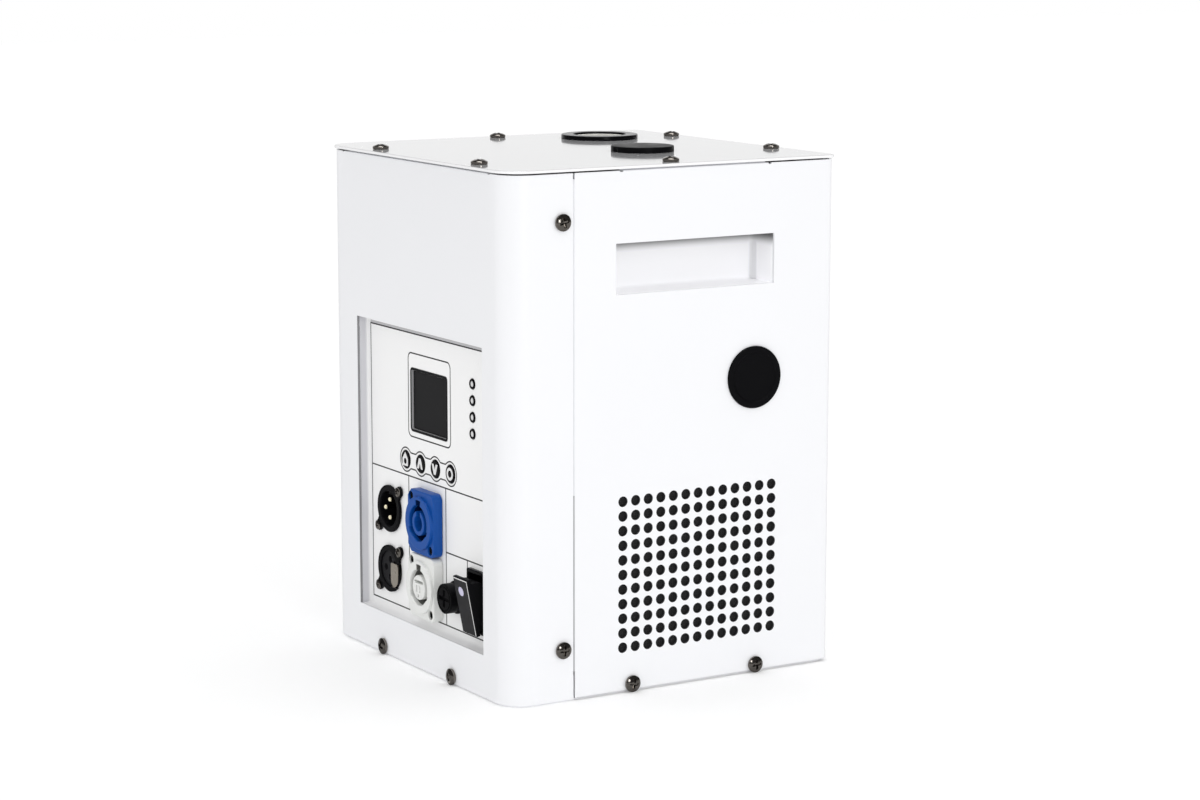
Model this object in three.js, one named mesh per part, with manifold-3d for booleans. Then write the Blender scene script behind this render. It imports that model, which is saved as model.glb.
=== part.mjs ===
// A cold spark machine: a white sheet-metal box that feeds metal granules from a hopper into a heated
// tube and blows them out of a nozzle in its top plate.
// Millimetres. The origin is at the middle of the bottom, on the surface that the machine stands on.
// +Z is up, the control panel faces -Y, and +X is to the right of someone facing the panel.

import * as THREE from 'three';
import { mergeGeometries, mergeVertices } from 'three/addons/utils/BufferGeometryUtils.js';
import Module from 'manifold-3d';

const wasm = await Module();
wasm.setup();

// Sizes of the box

const width = 180;
const depth = 181;
const sheet = 1.2;
const clearance = 0.3;
const overrun = 2;
const frontBend = 13;
const backBend = 5;
const frontCoverLift = 0.3;
const sidePanelLift = 0.8;
const seamSetback = 34.5;
const seamGap = 0.6;
const lipWidth = 14;
const lipSpare = 2;

// Top plate and the folded rims under it

const plateSeat = 247.4;
const plateThickness = 1.4;
const plateOverhang = 1;
const shadowGap = 0.8;
const rimWidth = 14;
const rimInset = 0.8;
const rimEndSetback = 18;
const sideRimLength = 81;
const reliefWidth = 1.6;
const reliefDepth = 1.8;
const sideFeatureY = 11;

// Base tray

const trayFloor = 1.5;
const trayRim = 12;

// Screws

const headRadius = 3.75;
const headHeight = 2.4;
const headEdge = 0.9;
const headTopShare = 0.62;
const shankRadius = 1.95;
const shankLength = 5.5;
const screwHoleRadius = 2.25;
const topScrewInset = 8.5;
const topScrewBackInset = 6.5;
const topScrewFrontX = 49;
const topScrewBackX = 45;
const topScrewSideY = 2;
const bottomScrewZ = 4;
const bottomScrewPitch = 70;
const wingScrewSetback = 28.5;
const wingScrewLowZ = 25;
const wingScrewFromTop = 22.9;

// Side panels: vent, finger recess and plug

const ventPitch = 7;
const ventColumns = 13;
const ventRows = 11;
const ventHoleRadius = 2.4;
const ventY = 12.8;
const ventZ = 56.9;
const returnWidth = 14;
const backInset = 1.5;
const recessLength = 88.3;
const recessHeight = 23.8;
const recessDepth = 19;
const recessFromTop = 46.2;
const cupFlange = 6;
const plugY = 44;
const plugZ = 144.8;
const plugHoleRadius = 14;
const plugHeadRadius = 15;
const plugProud = 1;
const plugStubLength = 6;
const plugWall = 2;
const filterMargin = 5;
const filterThickness = 0.6;

// Control panel

const openingFromLeft = 30;
const openingFromRight = 24.5;
const openingBottom = 21;
const openingTop = 165.8;
const panelRecess = 6;
const windowZ = 130.3;
const windowWidth = 37.5;
const windowHeight = 31.5;
const windowCorner = 2;
const lensMargin = 2;
const lensThickness = 1.5;
const lightFromRight = 19.6;
const lightTopZ = 146.1;
const lightPitch = 7.9;
const lightCount = 4;
const lightRadius = 2.4;
const lightProud = 0.8;
const lightStemRadius = 1.2;
const buttonCount = 4;
const buttonOffset = -1.3;
const buttonPitch = 15;
const buttonZ = 99.7;
const buttonRadius = 4.4;
const buttonProud = 0.5;
const buttonCollar = 1;
const buttonCollarThickness = 0.8;
const buttonStemRadius = 2;
const buttonTravel = 1;

// Control board behind the panel

const boardSetback = 12;
const boardThickness = 1.6;
const boardMargin = 6;
const boardBottom = 92;
const boardTop = 160;
const standoffRadius = 2.5;
const keySwitchSize = 6;
const keySwitchHeight = 1;

// The gaps beside the sockets, the fuse and the switch, as shares of the opening's free width

const fittingGapShares = [9.1, 14.2, 5.9, 4.6, 5.3];

// Three-pin sockets

const socketZ = 72.4;
const socketPitch = 30.2;
const socketRimRadius = 11.7;
const socketRimProud = 1.2;
const socketBarrelRadius = 10.6;
const socketBarrelLength = 19;
const socketCavityRadius = 8.8;
const socketCavityDepth = 12;
const pinRadius = 1.2;
const pinCircle = 4.5;
const pinSetback = 1.1;
const earX = 10.6;
const earZ = 10;
const earRadius = 2.7;
const earWebRadius = 3;
const earWebShare = 0.8;
const insertSetback = 0.8;
const insertHoleRadius = 1.7;
const insertHoleDepth = 8;
const latchLeft = 4.2;
const latchRight = 11.5;
const latchLow = 8;
const latchHigh = 4;
const latchProud = 1.2;
const latchThickness = 1.4;
const latchCorner = 2.4;
const latchTravel = 1;
const tongueWidth = 3;
const tongueRise = 2.5;
const tongueLength = 7;

// Power inlet and outlet

const powerZ = 72.7;
const powerPitch = 31.6;
const powerFlangeWidth = 26;
const powerFlangeHeight = 31;
const powerFlangeThickness = 5;
const powerFlangeCorner = 3;
const powerCollarRadius = 12.5;
const powerCollarProud = 1.5;
const powerBarrelRadius = 11.8;
const powerBarrelLength = 20;
const powerCavityRadius = 10.4;
const powerCavityDepth = 13;
const powerPostRadius = 5.1;
const powerPostSetback = 1.5;
const powerKeyWidth = 5;
const powerKeyReach = 1.2;
const powerScrewX = 9.5;
const powerScrewZ = 12;
const powerScrewRadius = 1.9;
const powerScrewDepth = 3;

// Fuse holder

const fuseZ = 41;
const fuseFlangeRadius = 8;
const fuseFlangeThickness = 1;
const fuseBarrelRadius = 6;
const fuseBarrelLength = 28;
const fuseBoreRadius = 4;
const fuseBoreDepth = 14;
const fuseCapRadius = 7.25;
const fuseCapHeight = 5.8;
const fuseStemLength = 12;
const fuseSlotWidth = 1.8;
const fuseSlotDepth = 1.2;
const fuseSlotReach = 5;

// Rocker switch

const switchZ = 43.1;
const bezelWidth = 17.8;
const bezelHeight = 30.2;
const bezelProud = 1.8;
const switchBodyWidth = 16;
const switchBodyHeight = 28;
const switchBodyDepth = 21;
const switchPocketDepth = 12;
const switchPocketHeight = 26.4;
const rockerWidth = 13.6;
const rockerLength = 28.3;
const rockerReach = 7;
const rockerLip = 2;
const rockerShoulder = 24;
const rockerWaist = 22.4;
const rockerKeel = 5;
const rockerKeelLength = 8;
const rockerPivotProud = 1;
const rockerTilt = 11;

// Nozzle, heating core and blower

const nozzleFromLeft = 38.5;
const nozzleFromBack = 45.9;
const ringRadius = 19.5;
const ringHeight = 1.9;
const ringBoreRadius = 13.35;
const ringSpigotRadius = 15.2;
const ringSpigotLength = 6;
const tubeRadius = 13;
const tubeWall = 1.4;
const tubeTopSetback = 1;
const tubeFootRadius = 20;
const tubeFootThickness = 2;
const coreRadius = 22;
const coreTop = 110;
const coreBottom = 45;
const blowerRadius = 33;
const blowerWall = 1.6;
const blowerHeight = 31;
const blowerCollarRadius = 16;
const blowerPortRadius = 10;
const blowerWheelRadius = 28;
const blowerWheelHeight = 18;
const blowerWheelDisc = 2;
const blowerHubRadius = 8;
const blowerBladeThickness = 1.4;
const blowerBladeCount = 9;
const blowerBladeRoot = 12;
const blowerPostRadius = 3;

// Filler cap, hopper and feed auger

const fillerFromRight = 63.6;
const fillerFromBack = 69.3;
const capRadius = 15.3;
const capHeight = 2.5;
const capStubRadius = 12;
const capStubLength = 9;
const capNotchCount = 8;
const capNotchRadius = 2.2;
const capNotchHeight = 1.1;
const neckBore = 12.5;
const hopperWall = 1.5;
const hopperFlangeRadius = 21;
const hopperFlangeThickness = 2;
const hopperRadius = 32;
const hopperShoulderZ = 236;
const hopperTopZ = 228;
const hopperConeZ = 172;
const spoutRadius = 6;
const feedZ = 130;
const spoutZ = 140;
const feedTubeRadius = 9.5;
const feedTubeBore = 7;
const feedTubeTail = 16;
const augerRadius = 6.2;
const augerCore = 2;
const augerPitch = 13;
const augerShaftRadius = 2;
const augerShaftLength = 8;
const motorRadius = 12.5;
const motorLength = 30;

// Cooling fan behind the right vent

const fanSize = 80;
const fanThickness = 25;
const fanBoreRadius = 38;
const fanHubRadius = 14;
const fanStrutWidth = 4;
const fanStrutThickness = 3;
const fanRotorLength = 17;
const fanBladeTip = 36.5;
const fanBladeChord = 17;
const fanBladeThickness = 1.6;
const fanBladeTilt = 40;
const fanBladeCount = 7;

// Power supply

const supplyFromLeft = 11;
const supplyFanGap = 8.6;
const supplyFromFront = 40.5;
const supplyBlowerGap = 7.6;
const supplyHeight = 34;
const supplyLip = 4;
const supplyLipThickness = 1.6;

// Facet counts

const bendSteps = 5;
const roundSides = 24;
const smallSides = 12;
const tinySides = 8;
const ventSides = 6;
const screwSides = 10;
const augerSides = 6;
const augerStepsPerTurn = 6;
const weld = 1e-4;

// Faces and planes that several pieces share

const sideFace = width / 2;
const frontFace = -depth / 2;
const backFace = depth / 2;
const insideX = sideFace - sheet;
const behindX = insideX - clearance;
const wallTop = plateSeat - shadowGap;
const rimTop = plateSeat - clearance;
const rimUnder = rimTop - sheet;
const seamY = frontFace + seamSetback;
const recessZ = plateSeat - recessFromTop;
const plateTop = plateSeat + plateThickness;
const panelFace = frontFace + panelRecess;
const panelBack = panelFace + sheet;
const seatY = panelFace - clearance;
const backPanelOuter = backFace - sheet - clearance;
const backPanelInner = backPanelOuter - sheet;
const trayFront = frontFace + sheet + clearance;
const trayBack = backPanelInner - clearance;
const nozzleX = -sideFace + nozzleFromLeft;
const nozzleY = backFace - nozzleFromBack;
const fillerX = sideFace - fillerFromRight;
const fillerY = backFace - fillerFromBack;

// Places in the front cover's opening: the display in its middle, and the fittings side by side below

function sum(values) {
  return values.reduce((total, value) => total + value);
}

const openingLeft = -sideFace + openingFromLeft;
const openingRight = sideFace - openingFromRight;
const windowX = (openingLeft + openingRight) / 2;
const lightX = openingRight - lightFromRight;
const fittingWidths = [2 * (earX + earRadius), powerFlangeWidth, 2 * fuseFlangeRadius, bezelWidth];
const freeWidth = openingRight - openingLeft - sum(fittingWidths);
const [socketX, powerX, fuseX, switchX] = fittingWidths.map((fitting, i) => {
  const gaps = (freeWidth * sum(fittingGapShares.slice(0, i + 1))) / sum(fittingGapShares);
  return openingLeft + gaps + sum(fittingWidths.slice(0, i + 1)) - fitting / 2;
});

// Finishes

function finish(color, roughness, metalness = 0) {
  return new THREE.MeshStandardMaterial({ color, roughness, metalness });
}

const whitePaint = finish(0xeef0f4, 0.35);
const blackPlastic = finish(0x161618, 0.5);
const blackFoam = finish(0x1c1c1e, 0.95);
const bluePlastic = finish(0x1f5bbf, 0.4);
const greyPlastic = finish(0xdfe2df, 0.45);
const darkGlass = finish(0x2a2b2e, 0.15);
const darkSteel = finish(0x55504a, 0.35, 0.9);
const brightSteel = finish(0xc9cacc, 0.3, 0.9);
const paleCeramic = finish(0xf1eee6, 0.6);
const greenBoard = finish(0x1f5a3a, 0.6);
const zincSteel = finish(0xa9adb2, 0.45, 0.8);
const clearPlastic = finish(0xcfd4d8, 0.3);

// Solids

// A closed geometry as a solid that can be cut and joined.
function solid(geometry) {
  const bare = geometry.clone();
  bare.deleteAttribute('normal');
  bare.deleteAttribute('uv');
  const merged = mergeVertices(bare, weld);
  const all = merged.index.array;
  const kept = [];
  for (let i = 0; i < all.length; i += 3) {
    const [a, b, c] = [all[i], all[i + 1], all[i + 2]];
    if (a !== b && b !== c && c !== a) kept.push(a, b, c);
  }
  const vertProperties = new Float32Array(merged.attributes.position.array);
  return new wasm.Manifold(new wasm.Mesh({ numProp: 3, vertProperties, triVerts: new Uint32Array(kept) }));
}

// A solid as a geometry again.
function geometryOf(shape) {
  const data = shape.getMesh();
  const geometry = new THREE.BufferGeometry();
  geometry.setAttribute('position', new THREE.BufferAttribute(new Float32Array(data.vertProperties), 3));
  geometry.setIndex(new THREE.BufferAttribute(new Uint32Array(data.triVerts), 1));
  geometry.computeVertexNormals();
  return geometry;
}

function join(...shapes) {
  return shapes.reduce((whole, shape) => whole.add(shape));
}

function cut(shape, ...cutters) {
  return cutters.reduce((rest, cutter) => rest.subtract(cutter), shape);
}

// A box given by its low and high corner along each axis.
function block([x0, x1], [y0, y1], [z0, z1]) {
  const geometry = new THREE.BoxGeometry(x1 - x0, y1 - y0, z1 - z0);
  geometry.translate((x0 + x1) / 2, (y0 + y1) / 2, (z0 + z1) / 2);
  return solid(geometry);
}

// Round rods along each axis, from one end to the other.
function rodZGeometry(x, y, radius, [z0, z1], sides = roundSides) {
  const geometry = new THREE.CylinderGeometry(radius, radius, z1 - z0, sides);
  geometry.rotateX(Math.PI / 2);
  geometry.translate(x, y, (z0 + z1) / 2);
  return geometry;
}

function rodZ(x, y, radius, span, sides) {
  return solid(rodZGeometry(x, y, radius, span, sides));
}

function rodY(x, z, radius, [y0, y1], sides = roundSides) {
  const geometry = new THREE.CylinderGeometry(radius, radius, y1 - y0, sides);
  geometry.translate(x, (y0 + y1) / 2, z);
  return solid(geometry);
}

function rodXGeometry(y, z, radius, [x0, x1], sides = roundSides) {
  const geometry = new THREE.CylinderGeometry(radius, radius, x1 - x0, sides);
  geometry.rotateZ(Math.PI / 2);
  geometry.translate((x0 + x1) / 2, y, z);
  return geometry;
}

function rodX(y, z, radius, span, sides) {
  return solid(rodXGeometry(y, z, radius, span, sides));
}

// A rectangle with a radius of its own at each corner: low-left, low-right, high-right, high-left.
function roundedRectangle([x0, x1], [y0, y1], [lowLeft, lowRight, highRight, highLeft]) {
  const quarter = Math.PI / 2;
  const shape = new THREE.Shape();
  shape.moveTo(x0 + lowLeft, y0);
  shape.lineTo(x1 - lowRight, y0);
  shape.absarc(x1 - lowRight, y0 + lowRight, lowRight, -quarter, 0, false);
  shape.lineTo(x1, y1 - highRight);
  shape.absarc(x1 - highRight, y1 - highRight, highRight, 0, quarter, false);
  shape.lineTo(x0 + highLeft, y1);
  shape.absarc(x0 + highLeft, y1 - highLeft, highLeft, quarter, Math.PI, false);
  shape.lineTo(x0, y0 + lowLeft);
  shape.absarc(x0 + lowLeft, y0 + lowLeft, lowLeft, Math.PI, 3 * quarter, false);
  return shape;
}

// A plan outline raised from one height to another.
function raise(shape, [z0, z1]) {
  const options = { depth: z1 - z0, bevelEnabled: false, curveSegments: bendSteps };
  const geometry = new THREE.ExtrudeGeometry(shape, options);
  geometry.translate(0, 0, z0);
  return solid(geometry);
}

// An outline drawn in X and Z, carried from one Y to another.
function sweepY(shape, [y0, y1]) {
  const options = { depth: y1 - y0, bevelEnabled: false, curveSegments: bendSteps };
  const geometry = new THREE.ExtrudeGeometry(shape, options);
  geometry.rotateX(Math.PI / 2);
  geometry.translate(0, y1, 0);
  return solid(geometry);
}

// A closed profile of [radius, height] pairs turned round the Z axis.
function turned(profile, sides = roundSides) {
  const points = profile.map(([radius, height]) => new THREE.Vector2(radius, height));
  const geometry = new THREE.LatheGeometry(points, sides);
  geometry.rotateX(Math.PI / 2);
  return geometry;
}

// The same geometry on the other side of the X = 0 plane, with its faces still pointing out.
function mirrored(geometry) {
  const copy = geometry.clone();
  const position = copy.attributes.position;
  for (let i = 0; i < position.count; i += 1) position.setX(i, -position.getX(i));
  const index = copy.index.array;
  for (let i = 0; i < index.length; i += 3) {
    [index[i + 1], index[i + 2]] = [index[i + 2], index[i + 1]];
  }
  copy.computeVertexNormals();
  return copy;
}

const machine = new THREE.Group();

function place(name, shape, material, parent = machine) {
  const geometry = shape.isBufferGeometry ? shape : geometryOf(shape);
  const mesh = new THREE.Mesh(geometry, material);
  mesh.name = name;
  parent.add(mesh);
  return mesh;
}

// Screw places, shared by the screws and by the holes that they go through

const bottomScrewXs = [-bottomScrewPitch / 2, bottomScrewPitch / 2];
const sideScrewYs = bottomScrewXs.map((offset) => sideFeatureY + offset);
const wingScrewY = frontFace + wingScrewSetback;
const wingScrewZs = [wingScrewLowZ, plateSeat - wingScrewFromTop];
const topScrews = [
  ['front_left', -topScrewFrontX, frontFace + topScrewInset],
  ['front_right', topScrewFrontX, frontFace + topScrewInset],
  ['mid_left', -sideFace + topScrewInset, topScrewSideY],
  ['mid_right', sideFace - topScrewInset, topScrewSideY],
  ['back_left', -topScrewBackX, backFace - topScrewBackInset],
  ['back_right', topScrewBackX, backFace - topScrewBackInset],
];
const topScrewSpan = [rimUnder - overrun, plateTop + overrun];
const topScrewHoles = topScrews.map(([, x, y]) => rodZ(x, y, screwHoleRadius, topScrewSpan, tinySides));

// Base tray: a floor with a folded rim, rounded to fit inside the covers

function trayOutline(inset) {
  const front = frontBend - sheet - clearance - inset;
  const back = backBend - sheet - inset;
  const side = behindX - inset;
  return roundedRectangle([-side, side], [trayFront + inset, trayBack - inset], [front, front, back, back]);
}

const trayScrewHoles = [
  ...bottomScrewXs.map((x) => rodY(x, bottomScrewZ, screwHoleRadius, [-depth, depth], tinySides)),
  ...sideScrewYs.map((y) => rodX(y, bottomScrewZ, screwHoleRadius, [-width, width], tinySides)),
];
const trayInside = raise(trayOutline(sheet), [trayFloor, trayRim + overrun]);
place('base_tray', cut(raise(trayOutline(0), [0, trayRim]), trayInside, ...trayScrewHoles), zincSteel);

// Front cover: the front face, two large bends and two wings, with a rim under the top plate

function frontCoverOutline() {
  const inner = frontBend - sheet;
  const wingEnd = seamY - seamGap / 2;
  const bendY = frontFace + frontBend;
  const bendX = sideFace - frontBend;
  const shape = new THREE.Shape();
  shape.moveTo(-sideFace, wingEnd);
  shape.lineTo(-sideFace, bendY);
  shape.absarc(-bendX, bendY, frontBend, Math.PI, 1.5 * Math.PI, false);
  shape.lineTo(bendX, frontFace);
  shape.absarc(bendX, bendY, frontBend, 1.5 * Math.PI, 2 * Math.PI, false);
  shape.lineTo(sideFace, wingEnd);
  shape.lineTo(insideX, wingEnd);
  shape.lineTo(insideX, bendY);
  shape.absarc(bendX, bendY, inner, 2 * Math.PI, 1.5 * Math.PI, true);
  shape.lineTo(-bendX, frontFace + sheet);
  shape.absarc(-bendX, bendY, inner, 1.5 * Math.PI, Math.PI, true);
  shape.lineTo(-insideX, wingEnd);
  return shape;
}

const rimHalf = sideFace - rimEndSetback;
const frontRimY = [frontFace + rimInset, frontFace + rimWidth];
const frontRim = block([-rimHalf, rimHalf], frontRimY, [rimUnder, rimTop]);
const frontWall = raise(frontCoverOutline(), [frontCoverLift, wallTop]);
const panelOpening = block(
  [openingLeft, openingRight],
  [frontFace - overrun, frontFace + sheet + overrun],
  [openingBottom, openingTop],
);
const frontScrewSpan = [frontFace - overrun, frontFace + frontBend];
const frontScrewHoles = bottomScrewXs.map((x) =>
  rodY(x, bottomScrewZ, screwHoleRadius, frontScrewSpan, tinySides),
);
const wingScrewHoles = wingScrewZs.map((z) =>
  rodX(wingScrewY, z, screwHoleRadius, [-width, width], tinySides),
);
place(
  'front_cover',
  cut(join(frontWall, frontRim), panelOpening, ...frontScrewHoles, ...wingScrewHoles, ...topScrewHoles),
  whitePaint,
);

// Side panels: wall, lip behind the front cover's wing, rear corner bend, rim under the top plate

function sidePanelOutline() {
  const inner = backBend - sheet;
  const wallStart = seamY + seamGap / 2;
  const bendY = backFace - backBend;
  const bendX = sideFace - backBend;
  const returnX = sideFace - returnWidth;
  const shape = new THREE.Shape();
  shape.moveTo(sideFace, wallStart);
  shape.lineTo(sideFace, bendY);
  shape.absarc(bendX, bendY, backBend, 0, Math.PI / 2, false);
  shape.lineTo(returnX, backFace);
  shape.lineTo(returnX, backFace - sheet);
  shape.lineTo(bendX, backFace - sheet);
  shape.absarc(bendX, bendY, inner, Math.PI / 2, 0, true);
  shape.lineTo(insideX, wallStart);
  return shape;
}

// The vent's holes, all as one cutter: a grid centred on the vent.
function ventCutter() {
  const holes = [];
  for (let column = 0; column < ventColumns; column += 1) {
    for (let row = 0; row < ventRows; row += 1) {
      const y = ventY + (column - (ventColumns - 1) / 2) * ventPitch;
      const z = ventZ + (row - (ventRows - 1) / 2) * ventPitch;
      holes.push(rodXGeometry(y, z, ventHoleRadius, [insideX - overrun, sideFace + overrun], ventSides));
    }
  }
  return solid(mergeGeometries(holes));
}

function sidePanel() {
  const wallStart = seamY + seamGap / 2;
  const lipSpan = [trayRim + lipSpare, rimUnder - lipSpare];
  const lipX = [behindX - sheet, behindX];
  const rimY = [sideFeatureY - sideRimLength / 2, sideFeatureY + sideRimLength / 2];
  const wall = raise(sidePanelOutline(), [sidePanelLift, wallTop]);
  const lip = block(lipX, [wallStart - lipWidth, wallStart + sheet], lipSpan);
  const step = block([behindX - sheet, sideFace], [wallStart, wallStart + sheet], lipSpan);
  const rim = block([sideFace - rimWidth, sideFace - rimInset], rimY, [rimUnder, rimTop]);
  const cutX = [insideX - overrun, sideFace + overrun];
  const window = block(
    cutX,
    [sideFeatureY - recessLength / 2, sideFeatureY + recessLength / 2],
    [recessZ - recessHeight / 2, recessZ + recessHeight / 2],
  );
  const reliefs = rimY.map((y) =>
    block(cutX, [y - reliefWidth / 2, y + reliefWidth / 2], [wallTop - reliefDepth, plateSeat]),
  );
  return cut(
    join(wall, lip, step, rim),
    window,
    rodX(plugY, plugZ, plugHoleRadius, cutX),
    ...reliefs,
    ...sideScrewYs.map((y) => rodX(y, bottomScrewZ, screwHoleRadius, cutX, tinySides)),
    ...wingScrewHoles,
    ...topScrewHoles,
    ventCutter(),
  );
}

const sidePanelGeometry = geometryOf(sidePanel());
place('side_panel_right', sidePanelGeometry, whitePaint);
place('side_panel_left', mirrored(sidePanelGeometry), whitePaint);

// Back panel: a flat sheet just inside the side panels' returns, with a rim under the top plate

const backHalf = sideFace - backBend - backInset;
const backSheet = block([-backHalf, backHalf], [backPanelInner, backPanelOuter], [sidePanelLift, wallTop]);
const backRim = block([-rimHalf, rimHalf], [backFace - rimWidth, backPanelOuter], [rimUnder, rimTop]);
const backScrewHoles = bottomScrewXs.map((x) =>
  rodY(x, bottomScrewZ, screwHoleRadius, [backPanelInner - overrun, backFace + overrun], tinySides),
);
place('back_panel', cut(join(backSheet, backRim), ...backScrewHoles, ...topScrewHoles), whitePaint);

// Finger recesses: a folded cup behind each side panel's window

function recessCup() {
  const half = recessLength / 2;
  const rise = recessHeight / 2;
  const floorX = sideFace - recessDepth;
  const outer = block(
    [floorX - sheet, behindX],
    [sideFeatureY - half - sheet, sideFeatureY + half + sheet],
    [recessZ - rise - sheet, recessZ + rise + sheet],
  );
  const flange = block(
    [behindX - sheet, behindX],
    [sideFeatureY - half - cupFlange, sideFeatureY + half + cupFlange],
    [recessZ - rise - cupFlange, recessZ + rise + cupFlange],
  );
  const hollow = block(
    [floorX, sideFace],
    [sideFeatureY - half, sideFeatureY + half],
    [recessZ - rise, recessZ + rise],
  );
  return cut(join(outer, flange), hollow);
}

const cupGeometry = geometryOf(recessCup());
place('recess_cup_right', cupGeometry, whitePaint);
place('recess_cup_left', mirrored(cupGeometry), whitePaint);

// Side plugs: a flat head over each round hole, and a hollow stub that snaps into it

function sidePlug() {
  const stub = plugHoleRadius - clearance;
  const headX = sideFace + clearance;
  const head = rodX(plugY, plugZ, plugHeadRadius, [headX, headX + plugProud]);
  const body = rodX(plugY, plugZ, stub, [headX - plugStubLength, headX + plugProud / 2]);
  const hollow = rodX(plugY, plugZ, stub - plugWall, [headX - plugStubLength - overrun, headX]);
  return cut(join(head, body), hollow);
}

const plugGeometry = geometryOf(sidePlug());
place('side_plug_right', plugGeometry, blackPlastic);
place('side_plug_left', mirrored(plugGeometry), blackPlastic);

// Mesh filters: a thin dark sheet behind each vent

const ventHalfY = ((ventColumns - 1) * ventPitch) / 2 + ventHoleRadius + filterMargin;
const ventHalfZ = ((ventRows - 1) * ventPitch) / 2 + ventHoleRadius + filterMargin;
const filterX = [behindX - filterThickness, behindX];
const filter = geometryOf(
  block(filterX, [ventY - ventHalfY, ventY + ventHalfY], [ventZ - ventHalfZ, ventZ + ventHalfZ]),
);
place('mesh_filter_right', filter, blackFoam);
place('mesh_filter_left', mirrored(filter), blackFoam);

// Top plate

const plateX = sideFace + plateOverhang;
const plateY = backFace + plateOverhang;
const plateFrontCorner = frontBend + plateOverhang;
const plateBackCorner = backBend + plateOverhang;
const plateOutline = roundedRectangle(
  [-plateX, plateX],
  [-plateY, plateY],
  [plateFrontCorner, plateFrontCorner, plateBackCorner, plateBackCorner],
);
const plateCut = [plateSeat - overrun, plateTop + overrun];
place(
  'top_plate',
  cut(
    raise(plateOutline, [plateSeat, plateTop]),
    rodZ(nozzleX, nozzleY, ringSpigotRadius + clearance, plateCut),
    rodZ(fillerX, fillerY, capStubRadius + clearance, plateCut),
    ...topScrewHoles,
  ),
  whitePaint,
);

// Nozzle ring: a black collar on the plate, round the pale spark tube

const ringSeat = plateTop + clearance;
const ringTop = ringSeat + ringHeight;
const ring = turned([
  [ringBoreRadius, ringSeat - ringSpigotLength],
  [ringSpigotRadius, ringSeat - ringSpigotLength],
  [ringSpigotRadius, ringSeat],
  [ringRadius, ringSeat],
  [ringRadius, ringTop],
  [ringBoreRadius, ringTop],
  [ringBoreRadius, ringSeat - ringSpigotLength],
]);
place('nozzle_ring', geometryOf(solid(ring)), blackPlastic).position.set(nozzleX, nozzleY, 0);

// The direction from the filler to the nozzle, along which the granules are fed

const feedX = nozzleX - fillerX;
const feedY = nozzleY - fillerY;
const feedAngle = Math.atan2(feedY, feedX);
const feedReach = Math.hypot(feedX, feedY);

// Spark tube: stands on the heating core, with a side hole where the feed tube meets it

function sparkTube() {
  const top = ringTop - tubeTopSetback;
  const foot = coreTop + clearance;
  const bore = tubeRadius - tubeWall;
  const tube = solid(
    turned([
      [bore, foot],
      [tubeFootRadius, foot],
      [tubeFootRadius, foot + tubeFootThickness],
      [tubeRadius, foot + tubeFootThickness],
      [tubeRadius, top],
      [bore, top],
      [bore, foot],
    ]),
  );
  const inlet = rodXGeometry(0, feedZ, feedTubeBore, [0, tubeRadius + overrun], smallSides);
  inlet.rotateZ(feedAngle + Math.PI);
  return cut(tube, solid(inlet));
}

place('spark_tube', sparkTube(), paleCeramic).position.set(nozzleX, nozzleY, 0);

// Heating core: a thick sleeve round the bottom of the granules' path

const coreBore = tubeRadius - tubeWall;
const core = turned([
  [coreBore, coreBottom],
  [coreRadius, coreBottom],
  [coreRadius, coreTop],
  [coreBore, coreTop],
  [coreBore, coreBottom],
]);
place('heating_core', geometryOf(solid(core)), darkSteel).position.set(nozzleX, nozzleY, 0);

// Blower: a drum on the tray's floor whose collar carries the core, and the wheel inside it

const blowerFoot = trayFloor + clearance;
const blowerTop = blowerFoot + blowerHeight;

function blowerHousing() {
  const collarBore = coreBore;
  const drum = solid(
    turned([
      [0, blowerFoot],
      [blowerRadius, blowerFoot],
      [blowerRadius, blowerTop],
      [blowerCollarRadius, blowerTop],
      [blowerCollarRadius, coreBottom - clearance],
      [0, coreBottom - clearance],
      [0, blowerFoot],
    ]),
  );
  const hollow = rodZ(0, 0, blowerRadius - blowerWall, [blowerFoot + blowerWall, blowerTop - blowerWall]);
  const flue = rodZ(0, 0, collarBore, [blowerTop - overrun, coreBottom + overrun]);
  const port = rodX(0, (blowerFoot + blowerTop) / 2, blowerPortRadius, [0, width]);
  const post = rodZ(0, 0, blowerPostRadius, [blowerFoot, blowerFoot + blowerWall + blowerWheelHeight]);
  return join(cut(drum, hollow, flue, port), post);
}

place('blower_housing', blowerHousing(), zincSteel).position.set(nozzleX, nozzleY, 0);

// A blade that stands on the wheel's disc, from its root to the wheel's rim.
function blowerBlade(turn, [z0, z1]) {
  const length = blowerWheelRadius - blowerBladeRoot;
  const geometry = new THREE.BoxGeometry(length, blowerBladeThickness, z1 - z0);
  geometry.translate(blowerBladeRoot + length / 2, 0, (z0 + z1) / 2);
  geometry.rotateZ(turn);
  return solid(geometry);
}

function blowerWheel() {
  const foot = blowerFoot + blowerWall + clearance;
  const disc = rodZ(0, 0, blowerWheelRadius, [foot, foot + blowerWheelDisc]);
  const hub = rodZ(0, 0, blowerHubRadius, [foot, foot + blowerWheelHeight], smallSides);
  const blades = [];
  for (let i = 0; i < blowerBladeCount; i += 1) {
    const turn = (2 * Math.PI * i) / blowerBladeCount;
    blades.push(blowerBlade(turn, [foot + blowerWheelDisc / 2, foot + blowerWheelHeight]));
  }
  const bore = rodZ(0, 0, blowerPostRadius + clearance, [0, blowerTop]);
  return cut(join(disc, hub, ...blades), bore);
}

place('blower_wheel', blowerWheel(), blackPlastic).position.set(nozzleX, nozzleY, 0);

// Filler cap: a low black cap with finger notches round its lower edge and a stub in the neck

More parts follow.
